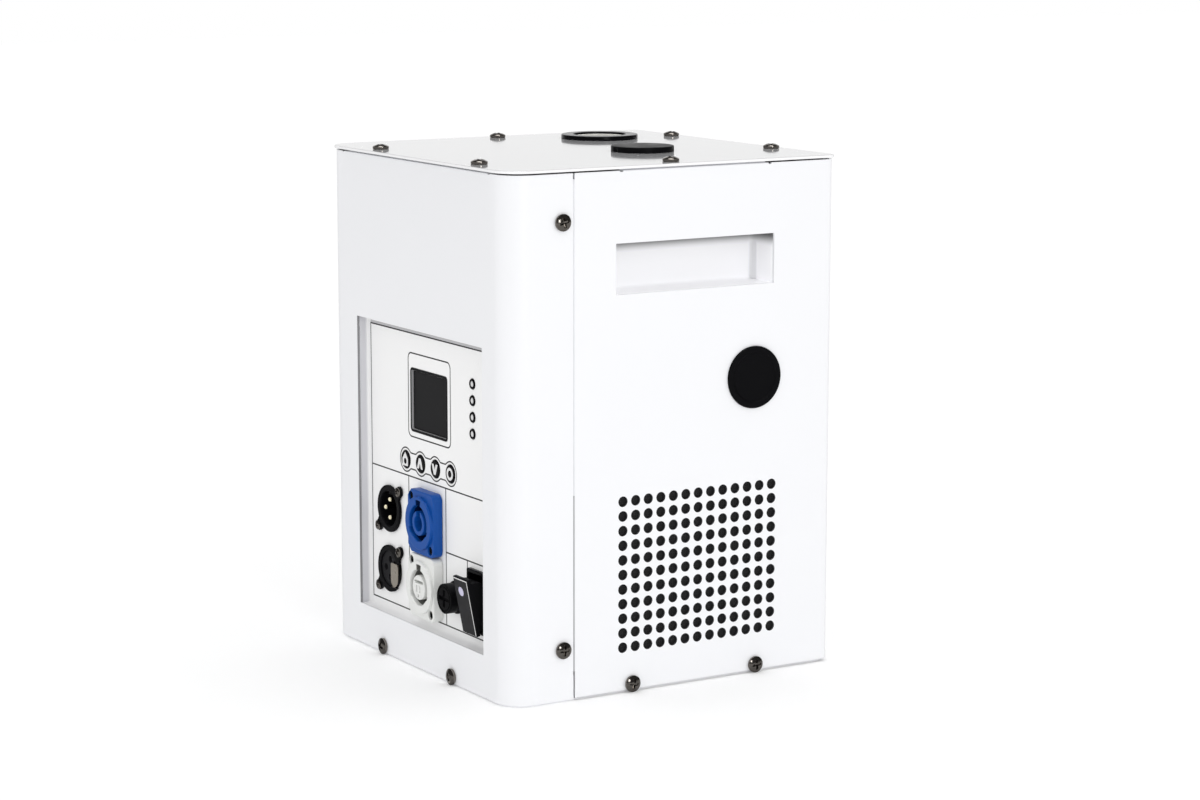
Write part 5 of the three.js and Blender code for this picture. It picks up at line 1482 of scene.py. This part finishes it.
# %% Key switches and pillars
switch_can = joined(plate(box_outline(-3, 3, -3, 3, 0.3), [], 0, 0.8, edge=0.1),
                    plate(circle(0, 0, 1.7, 24), [], 0.8, 1.0, edge=0.05))
for name, x in zip(button_names, button_x):
    piece(f"key_contact_{name}", facing_front(switch_can, x, board_front, button_z), nickel_bright,
          replaces=["control_board"])
pillar = plate(circle(0, 0, pillar_radius, 6), [circle(0, 0, 1.2, 16)], 0,
               board_front - panel_face - sheet - fit, edge=0.2)
for count, (x, z) in enumerate(pillar_places, start=1):
    piece(f"board_pillar_{count}", facing_front(pillar, x, board_front, z), pin_gold_glowing,
          replaces=["control_board"])
print("pillars:", len(pillar_places))

# %% [markdown]
# ## Push buttons
# Each button is a black cap that slides a millimetre through the tray, with a collar behind that keeps it
# in. Its symbol is a thin white plate on the cap: a house, an arrow up, an arrow down and a ring. Cap and
# symbol ride on the button's own body, so they travel together when the joint moves.

# %% The cap and its signs
cap_proud = panel_face - box_mm("button_menu")[0][1]
stem_end = panel_face - box_mm("button_menu")[1][1]
key_collar = 5.4
button_profile = soften([(0, cap_proud - 0.15), (3.3, cap_proud), (key_radius, cap_proud), (key_radius, -1.5),
                         (key_collar, -1.5), (key_collar, -2.3), (2.0, -2.3), (2.0, stem_end), (0, stem_end)],
                        [0, 0.8, 0.45, 0, 0.2, 0.2, 0.2, 0.2, 0], 4)
button_cap = turned(button_profile, 48)


def arrow(way):
    """An open arrowhead: two strokes that meet at the tip, way 1 for up and -1 for down."""
    return np.array([(-2.9, -2.4), (-1.1, -2.4), (0, 0.5), (1.1, -2.4), (2.9, -2.4), (0.9, 2.8),
                     (-0.9, 2.8)][::way]) * (1, way)


def house(size):
    """A five-cornered house front, drawn round the middle of its walls."""
    return size * np.array([(-0.72, -0.8), (0.72, -0.8), (0.72, 0.1), (0, 0.95), (-0.72, 0.1)])


symbols = {
    "menu": [(house(3.9), [circle(0, -0.8, 1.45, 24)])],
    "up": [(arrow(1), [])],
    "down": [(arrow(-1), [])],
    "enter": [(circle(0, 0, 3.1, 40), [circle(0, 0, 1.75, 40)])]}
print("signs:", list(symbols))

# %% Four buttons
for name, x in zip(button_names, button_x):
    piece(f"key_cap_{name}", facing_front(button_cap, x, panel_face, button_z), black_gloss,
          body=f"{name}_key", replaces=[f"button_{name}"])
    symbol = joined(*[plate(outline, holes, cap_proud - 0.2, cap_proud + ink_height, edge=ink_edge)
                      for outline, holes in symbols[name]])
    piece(f"key_symbol_{name}", facing_front(symbol, x, panel_face, button_z), symbol_white,
          body=f"{name}_key", replaces=[f"button_{name}"])
print("buttons stand", round(cap_proud, 2), "mm proud")

# %% [markdown]
# ## Three-pin sockets
# The two sockets share a shell: a round rim with two screw ears, and a barrel behind the panel. The
# outline is found along rays from the middle: a ray meets the rim, the web or the ear, and a soft maximum
# of the three distances blends them as a casting does. The male socket holds three pins in a deep well,
# with gilt tips whose finish glows a little: painted light for the light they catch. The female one holds
# a flat insert with three holes and the push latch, and its rim is open beside the latch, which needs room to
# be pressed.

# %% The sockets' outline
rim_radius = 11.7
socket_front = panel_face - tray_fit
rim_proud = socket_front - box_mm("socket_male")[0][1]
ear_x, ear_z = 10.6, 10.0
well_radius = 8.8
contacts = [(0, 4.5), (0, -4.5), (-4.5, 0)]
seat = tray_fit
small_screw = screw(2.35, 1.2, 1.2, 3.0)
web_share = 0.8
web_radius = 3.0
ear_radius = 2.7


def ray_reach(t, x, y, radius):
    """How far a ray at angle t meets a circle's far side: with the middle at distance d along the ray and
    offset s beside it, d + √(r² - s²), and nothing where the ray misses."""
    along = x * np.cos(t) + y * np.sin(t)
    beside = y * np.cos(t) - x * np.sin(t)
    root = np.sqrt(np.clip(radius ** 2 - beside ** 2, 0, None))
    return np.where((np.abs(beside) < radius) & (along > 0), along + root, 0)


def socket_outline(steps=240):
    """The rim, its webs and its ears along rays: the 24th root of the sum of the reaches' 24th powers."""
    t = np.linspace(0, 2 * math.pi, steps, endpoint=False)
    reaches = [np.full(steps, rim_radius)]
    for side in (-1, 1):
        reaches.append(ray_reach(t, side * web_share * ear_x, side * web_share * ear_z, web_radius))
        reaches.append(ray_reach(t, side * ear_x, side * ear_z, ear_radius))
    largest = np.max(reaches, axis=0)
    reach = largest * np.sum((np.array(reaches) / largest) ** 24, axis=0) ** (1 / 24)
    return np.stack([reach * np.cos(t), reach * np.sin(t)], axis=-1)


print("socket ears reach", round(float(np.abs(socket_outline()).max()), 2), "mm out")

# %% Male socket
rim_plate = plate(socket_outline(), [circle(0, 0, well_radius, 64)], 0, rim_proud, edge=0.3)
barrel_back = -19.0 - seat
male_depth, female_depth = 12, 9
insert_gap = 0.7


def socket_well(depth, gap):
    """The barrel with a well in it: its floor at a depth behind the rim's face, and its edge at a gap."""
    floor_height, edge_height, wall = rim_proud - depth, rim_proud - gap, well_radius - 0.1
    return turned(ring_profile(
        [(0, floor_height), (wall, floor_height), (wall, edge_height), (socket_barrel, edge_height),
         (socket_barrel, barrel_back), (0, barrel_back)], [0, 0.8, 0, 0, 0.5, 0]), 64)


pin_tip = 0.8
pin_neck = 0.0
pin_radius = 1.15
pin_foot = rim_proud - male_depth - 0.2
pin_shaft = turned(soften([(0, pin_neck), (pin_radius, pin_neck), (pin_radius, pin_foot), (0, pin_foot)],
                          [0, 0.1, 0, 0], 5), 24)
socket_pin = turned(soften([(0, pin_tip), (pin_radius - 0.1, pin_tip), (pin_radius - 0.1, pin_neck - 0.1),
                            (0, pin_neck - 0.1)], [0, 0.6, 0, 0], 5), 24)
key_rib = plate(box_outline(-1.1, 1.1, 7.0, 9.2), [], pin_foot, rim_proud - 1.0, edge=0.3)
male_x, male_z = socket_places[0]
male_shell = joined(rim_plate, socket_well(male_depth, insert_gap), key_rib)
piece("male_socket_shell", facing_front(male_shell, male_x, socket_front, male_z), black_plastic,
      replaces=["socket_male"])
pins = joined(*[moved(socket_pin, (x, z, 0)) for x, z in contacts])
piece("male_socket_pins", facing_front(pins, male_x, socket_front, male_z), pin_gold_glowing,
      replaces=["socket_male"])
shafts = joined(*[moved(pin_shaft, (x, z, 0)) for x, z in contacts])
piece("male_socket_shafts", facing_front(shafts, male_x, socket_front, male_z), nickel_dark,
      replaces=["socket_male"])
print("male socket stands", round(rim_proud, 2), "mm proud")

# %% Socket screws
for label, (x, z) in zip(("male", "female"), socket_places):
    for number, side in ((1, 1), (2, -1)):
        turn = turned_round(small_screw, 20 + 35 * number)
        at_ear = moved(turn, (side * ear_x, side * ear_z, rim_proud))
        piece(f"{label}_socket_screw_{number}", facing_front(at_ear, x, socket_front, z), nickel_dark)
print("socket screws:", 2 * len(socket_places))

# %% Room for the push latch
insert_setback = 0.8
insert_hole = 1.7
latch_low, latch_high = box_mm("socket_latch")
female_x, female_z = socket_places[1]
latch_x = (latch_low[0] - female_x, latch_high[0] - female_x)
latch_z = (latch_low[2] - female_z, latch_high[2] - female_z)
latch_front = socket_front - latch_low[1]
latch_back = socket_front - latch_high[1]
latch_room = 1.5
room_low, room_high, room_left = latch_z[0] - fit, latch_z[1] + fit, latch_x[0] - fit


def open_rim():
    """The rim as a C: the outline's and the well's points beside the latch are left out, and the outer
    line runs round from the gap's top to its bottom and the inner one back."""
    loops = []
    for loop in (socket_outline(), circle(0, 0, well_radius, 96)):
        beside = (loop[:, 0] > 0) & (loop[:, 1] > room_low) & (loop[:, 1] < room_high)
        first = int(np.flatnonzero(beside & ~np.roll(beside, -1))[0]) + 1
        loops.append(np.roll(loop, -first, axis=0)[:int((~beside).sum())])
    return np.vstack([loops[0], loops[1][::-1]])


def cut_insert():
    """The insert's upper disc less the latch's corner: an arc from the gap's top round to its left side,
    and the corner between them."""
    radius = well_radius - 0.05
    start, end = math.asin(room_high / radius), 2 * math.pi - math.acos(room_left / radius)
    t = np.linspace(start, end, 56)
    return np.vstack([np.stack([radius * np.cos(t), radius * np.sin(t)], axis=-1), [(room_left, room_high)]])


print("the pressed latch has", latch_room, "mm behind the rim's face")

# %% Female socket
tongue_width, tongue_half, tongue_fit = 3.0, 2.5, 0.15
female_rim = plate(open_rim(), [], 0, rim_proud, edge=0.2)
tongue_slot = box_outline(latch_x[0] - tongue_fit, latch_x[0] + tongue_width + tongue_fit,
                          -tongue_half - tongue_fit, tongue_half + tongue_fit, 0.4)
contact_holes = [circle(x, z, insert_hole, 24) for x, z in contacts]
insert_disc = joined(
    plate(circle(0, 0, well_radius - 0.05, 64), [*contact_holes, tongue_slot], rim_proud - female_depth,
          rim_proud - latch_room, edge=0.02),
    plate(cut_insert(), contact_holes, rim_proud - latch_room - 0.1, rim_proud - insert_setback, edge=0.15))
female_shell = joined(female_rim, socket_well(female_depth, latch_room))
piece("female_socket_shell", facing_front(female_shell, female_x, socket_front, female_z), black_plastic,
      replaces=["socket_female"])
piece("female_socket_insert", facing_front(insert_disc, female_x, socket_front, female_z), insert_grey,
      replaces=["socket_female"])
print("insert, mm:", round(2 * well_radius, 1), "across")

# %% Push latch
latch_tab = plate(box_outline(*latch_x, *latch_z, (3.6, 4.6, 2.4, 1.2)), [], latch_front - 0.18, latch_front,
                  edge=0.12)
latch_tongue = plate(box_outline(latch_x[0], latch_x[0] + tongue_width, -tongue_half, tongue_half, 0.4), [],
                     latch_back, latch_front - 0.1, edge=0.05)
piece("latch_tab", facing_front(joined(latch_tab, latch_tongue), female_x, socket_front, female_z),
      nickel_bright, body="latch", replaces=["socket_latch"])
print("latch, mm:", np.round(latch_high - latch_low, 1), "front", round(latch_front, 2), "back",
      round(latch_back, 2), "rim", round(rim_proud, 2))

# %% [markdown]
# ## Power inlet and outlet
# Both are the same moulding in two colours. A thick flange has two clipped and two round corners and two
# screw holes, and a raised collar has a keyed well with a post. The inlet's post is a horseshoe, and the
# outlet's is a disc with slots for the contacts. The clipped corners are plain cuts, so the outline mixes
# straight and round corners. The well is an outline whose radius steps out where the key goes in, and its
# walls are a darker piece of their own, because little light reaches them.

# %% Outlines of a power socket
flange_half = (13.0, 15.5)
collar_radius = 12.9
collar_top = socket_front - box_mm("power_inlet")[0][1]
flange_thickness = collar_top - 1.5
well_bore = 8.8
lip = 2.4
sleeve_radius = 11.6
well_floor = collar_top - 13.0
key_half = 2.0
key_reach = 2.5
clip = 3.4


def flange_outline():
    """Clipped corners on the left and round ones on the right, counterclockwise from the low left."""
    x, y = flange_half
    return soften([(-x + clip, -y), (x, -y), (x, y), (-x + clip, y), (-x, y - clip), (-x, -y + clip)],
                  [0.4, 3.4, 3.4, 0.4, 0.4, 0.4], 6, closed=True)


def well_outline():
    """A circle with three slots in its side: the radius grows by the reach where the angle is in a slot."""
    wide = math.asin(key_half / well_bore)
    edges = np.array([wide, 0.16, 0.16])
    centres = np.radians([90.0, -28.0, 208.0])
    steps = np.linspace(0, 2 * math.pi, 120, endpoint=False)
    hair = 0.004
    marks = np.concatenate([[c - e - hair, c - e + hair, c + e - hair, c + e + hair]
                            for c, e in zip(centres, edges)])
    t = lines(steps, np.mod(marks, 2 * math.pi))
    away = np.abs(np.mod(t[:, None] - centres + math.pi, 2 * math.pi) - math.pi)
    depth = np.max(np.where(away < edges, (key_reach, 0.7, 0.7), 0), axis=1)
    return np.stack([(well_bore + depth) * np.cos(t), (well_bore + depth) * np.sin(t)], axis=-1)


def key_outline():
    """A thin U in the well's darker finish that lines the key slot at the top of the well: painted shade."""
    wide, low, high, wall = key_half + 0.1, well_bore - 0.4, well_bore + key_reach, 0.3
    return np.array([(-wide, low), (wall - wide, low), (wall - wide, high - wall), (wide - wall, high - wall),
                     (wide - wall, low), (wide, low), (wide, high), (-wide, high)])


def horseshoe(outer, inner, gap, steps=40):
    """A ring open at the top: an outer arc round the bottom from one side of the gap to the other, and an
    inner arc back."""
    wide = np.linspace(math.pi / 2 + math.asin(gap / outer), 2.5 * math.pi - math.asin(gap / outer), steps)
    close = np.linspace(2.5 * math.pi - math.asin(gap / inner), math.pi / 2 + math.asin(gap / inner), steps)
    return np.vstack([np.stack([radius * np.cos(t), radius * np.sin(t)], axis=-1)
                      for radius, t in ((outer, wide), (inner, close))])


print("flange, mm:", 2 * flange_half[0], "by", 2 * flange_half[1])

# %% Posts and mouldings
post_radius = 6.0
hole_x, hole_z = 9.5, 12.0
inlet_post = (horseshoe(post_radius, 3.9, 1.9), [])
outlet_post = (circle(0, 0, post_radius, 64),
               [box_outline(-4.4, 4.4, 1.9, 3.4, 0.3), box_outline(-2.6, -1.5, -2.6, 0.9, 0.3),
                box_outline(0.6, 1.7, -2.6, 0.9, 0.3), circle(-0.5, -4.2, 0.9, 16)])


def power_socket(post_outline, post_holes):
    """Flange, collar, barrel and post as closed shapes that overlap where they join."""
    screw_holes = [circle(-hole_x, hole_z, 2.25, 28), circle(hole_x, -hole_z, 2.25, 28)]
    middle_hole = circle(0, 0, collar_radius - 0.7, 96)
    flange = plate(flange_outline(), [*screw_holes, middle_hole], 0, flange_thickness, edge=0.55,
                   hole_edge=0.05)
    collar = plate(circle(0, 0, collar_radius, 96), [circle(0, 0, sleeve_radius, 96)], 0,
                   collar_top - lip + 0.1, edge=0.02)
    front_lip = plate(circle(0, 0, collar_radius, 96), [well_outline()], collar_top - lip, collar_top,
                      edge=0.4)
    barrel = plate(circle(0, 0, power_barrel, 96), [], -20.0 - seat, well_floor, edge=0.4)
    post = plate(post_outline, post_holes, well_floor - 0.2, collar_top - 0.2, edge=0.3, hole_edge=0.1)
    sleeve = plate(circle(0, 0, sleeve_radius + 0.05, 96), [well_outline()], well_floor - 0.5,
                   collar_top - lip + 0.05, edge=0.02)
    floor_disc = plate(circle(0, 0, sleeve_radius, 96), [], well_floor - 0.3, well_floor + 0.05, edge=0.02)
    key_lining = plate(key_outline(), [], well_floor, collar_top - 0.3, edge=0.02)
    return joined(flange, collar, front_lip, barrel, post), joined(sleeve, floor_disc, key_lining)


print("well, mm:", 2 * well_bore, "across and", round(collar_top - well_floor, 1), "deep")

# %% Inlet and outlet
for label, post, colour, shade, slot, (x, z) in zip(
        ("inlet", "outlet"), (inlet_post, outlet_post), (inlet_blue, outlet_grey),
        (inlet_shade, outlet_shade), ("blue_plastic", "grey_plastic"), power_places):
    moulding, well = power_socket(*post)
    piece(f"{label}_moulding", facing_front(moulding, x, socket_front, z), colour,
          replaces=[f"power_{label}"])
    piece(f"{label}_well", facing_front(well, x, socket_front, z), shade, replaces=[f"power_{label}"])
    for number, side in ((1, -1), (2, 1)):
        sunk = moved(turned_round(screw(2.2, 1.1, 1.0, 2.0), 25 * number),
                     (hole_x * side, -hole_z * side, flange_thickness - 1.5))
        piece(f"{label}_screw_{number}", facing_front(sunk, x, socket_front, z), black_gloss)
print("power sockets:", len(power_places))

# %% [markdown]
# ## The fuse holder
# The fuse sits in a round holder behind the panel. Its cap stands well out, with a groove round its face
# and a crossed slot for a screwdriver, and a quarter turn frees it. The cap rides on its own body.

# %% Fuse holder
fuse_cap_low, fuse_cap_high = box_mm("fuse_cap")
fuse_radius = (fuse_cap_high[0] - fuse_cap_low[0]) / 2
fuse_low, fuse_high = box_mm("fuse_holder")
flange_top = panel_face - fuse_low[1]
holder_back = panel_face - fuse_high[1]
holder_profile = ring_profile(
    [(4.0, flange_top - 14), (4.0, flange_top), (8.0, flange_top), (8.0, seat), (fuse_barrel, seat),
     (fuse_barrel, holder_back), (0, holder_back), (0, flange_top - 14)], [0.3, 0.3, 0.35, 0, 0, 0.4, 0, 0])
piece("fuse_socket", facing_front(turned(holder_profile, 64), fuse_x, panel_face, fuse_z), black_plastic,
      replaces=["fuse_holder"])
print("fuse holder reaches", round(-holder_back, 1), "mm behind the panel")

# %% Fuse cap
cap_front = panel_face - fuse_cap_low[1]
cap_back = cap_front - 5.0
cap_end = panel_face - fuse_cap_high[1]
slot_cross = np.array([(5.0, -0.9), (5.0, 0.9), (0.9, 0.9), (0.9, 4.2), (-0.9, 4.2), (-0.9, 0.9),
                       (-5.0, 0.9), (-5.0, -0.9), (-0.9, -0.9), (-0.9, -4.2), (0.9, -4.2), (0.9, -0.9)])
cap_face = plate(circle(0, 0, 5.6, 64), [slot_cross], cap_front - 1.3, cap_front, edge=0.2)
cap_body = turned(ring_profile(
    [(0, cap_front - 1.25), (5.5, cap_front - 1.25), (5.5, cap_front - 0.5), (6.2, cap_front - 0.5),
     (6.2, cap_front), (fuse_radius, cap_front), (fuse_radius, cap_back), (3.7, cap_back), (3.7, cap_end),
     (0, cap_end)], [0, 0, 0, 0, 0.2, 0.5, 0.3, 0.2, 0.4, 0]), 96)
piece("fuse_cover", facing_front(joined(cap_face, cap_body), fuse_x, panel_face, fuse_z), black_plastic,
      body="fuse_top", replaces=["fuse_cap"])
print("fuse cap stands", round(cap_front, 2), "mm proud")

# %% [markdown]
# ## The rocker switch
# The housing is a bezel on the panel with a deep pocket. The rocker is drawn from the side: a flat front
# with a lip at each end, narrowing to a keel round its pivot. That outline becomes a plate as wide as the
# rocker, turned into place and tilted. A pale line runs along its upper and right edges, and a pale dot
# marks the end that is pressed to switch on.

# %% Switch housing
bezel_half = (8.9, 15.1)
bezel_top = seat + 1.8
pocket = box_outline(-7.1, 7.1, -13.2, 13.2, 0.5)
pocket_floor = bezel_top - 12
housing_back = panel_face - box_mm("switch_housing")[1][1]
housing = joined(
    plate(box_outline(-bezel_half[0], bezel_half[0], -bezel_half[1], bezel_half[1], 1.0), [pocket], seat,
          bezel_top, edge=0.5),
    plate(box_outline(-8, 8, -14, 14, 0.8), [pocket], pocket_floor - 0.5, seat + 0.5, edge=0.02),
    plate(box_outline(-8, 8, -14, 14, 0.8), [], housing_back, pocket_floor, edge=0.1))
piece("switch_body", facing_front(housing, switch_x, panel_face, switch_z), black_gloss,
      replaces=["switch_housing"])
print("bezel, mm:", 2 * bezel_half[0], "by", 2 * bezel_half[1])

# %% The rocker
rocker_half, rocker_reach, rocker_width = 14.15, 7.0, 13.6
pivot = np.array([switch_x, panel_face - 1.0, switch_z])
tilt = math.radians(11)


def on_rocker(shape):
    """A shape drawn on the rocker's front, X across, Y along and height outwards, tilted about the pivot:
    y' = y cos a - z sin a and z' = y sin a + z cos a."""
    p = shape[0]
    y, z = -p[:, 2], p[:, 1]
    turned_points = np.stack([p[:, 0], y * math.cos(tilt) - z * math.sin(tilt),
                              y * math.sin(tilt) + z * math.cos(tilt)], axis=-1)
    return turned_points + pivot, shape[1]


side_outline = soften([(-rocker_half, rocker_reach), (-rocker_half, 5.0), (-12.0, 5.0), (-11.2, 0), (-4, -5),
                       (4, -5), (11.2, 0), (12.0, 5.0), (rocker_half, 5.0), (rocker_half, rocker_reach)],
                      [0.5, 0.4, 0.5, 2, 2, 2, 2, 0.5, 0.4, 0.5], 4, closed=True)
rocker_span = (-rocker_width / 2, rocker_width / 2)
rocker_side = plate(side_outline, [], *rocker_span, side_view=both_edges(*rocker_span, 0.4))
rocker_shape = (rocker_side[0][:, [2, 0, 1]], rocker_side[1])
piece("rocker_paddle", on_rocker(rocker_shape), black_plastic, body="rocker",
      replaces=["switch_rocker"])
face_shape = plate(box_outline(-6.5, 6.5, -13.8, 13.8, 0.6), [], rocker_reach - 0.05, rocker_reach + 0.02,
                   edge=0.01)
piece("rocker_face", on_rocker(face_shape), rocker_grey, body="rocker")
print("rocker, mm:", rocker_width, "by", 2 * rocker_half)

# %% The rocker's line and dot
line_half_x, line_half_y, line_width = 6.3, 13.6, 0.5
edge_line = np.array([(line_half_x, -line_half_y), (line_half_x, line_half_y), (-line_half_x, line_half_y),
                      (-line_half_x, line_half_y - line_width),
                      (line_half_x - line_width, line_half_y - line_width),
                      (line_half_x - line_width, -line_half_y)])
edge_shape = plate(edge_line, [], rocker_reach - 0.05, rocker_reach + 0.06, edge=0.01)
piece("rocker_trim", on_rocker(edge_shape), rocker_line, body="rocker")
dot_shape = plate(circle(-1.0, 7.3, 2.3, 40), [], rocker_reach - 0.05, rocker_reach + 0.08, edge=0.03)
piece("rocker_dot", on_rocker(dot_shape), dot_lavender, body="rocker")
print("rocker tilts", round(math.degrees(tilt)), "degrees at rest")

# %% [markdown]
# ## Finishes for the parts inside
# The other parts keep the shapes of the CAD model: the base tray, the mesh filters, the heater, the blower,
# the hopper, the auger and its motor, the fan and the power supply. Each still gets its own finish, because
# they show through the vents or when the cover comes off.

# %% Finishes inside
inside_finishes = {
    "base_tray": satin_white, "mesh_filter_right": filter_black, "mesh_filter_left": filter_black,
    "heating_core": die_cast, "blower_housing": zinc_plate, "blower_wheel": black_plastic,
    "hopper": hopper_clear, "feed_auger": nickel_bright, "feed_motor": zinc_plate,
    "fan_frame": black_plastic, "fan_wheel": black_gloss, "power_supply": zinc_plate}
for name, material in inside_finishes.items():
    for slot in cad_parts[name].material_slots:
        slot.material = material
print("parts inside with their own finish:", len(inside_finishes))

# %% [markdown]
# ## Measure and finish
# The dressed machine's size is measured over all its shown pieces and printed.

# %% Sizes, and the end
low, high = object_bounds()
print("size, mm:", [round((b - a) / MM, 1) for a, b in zip(low, high)])
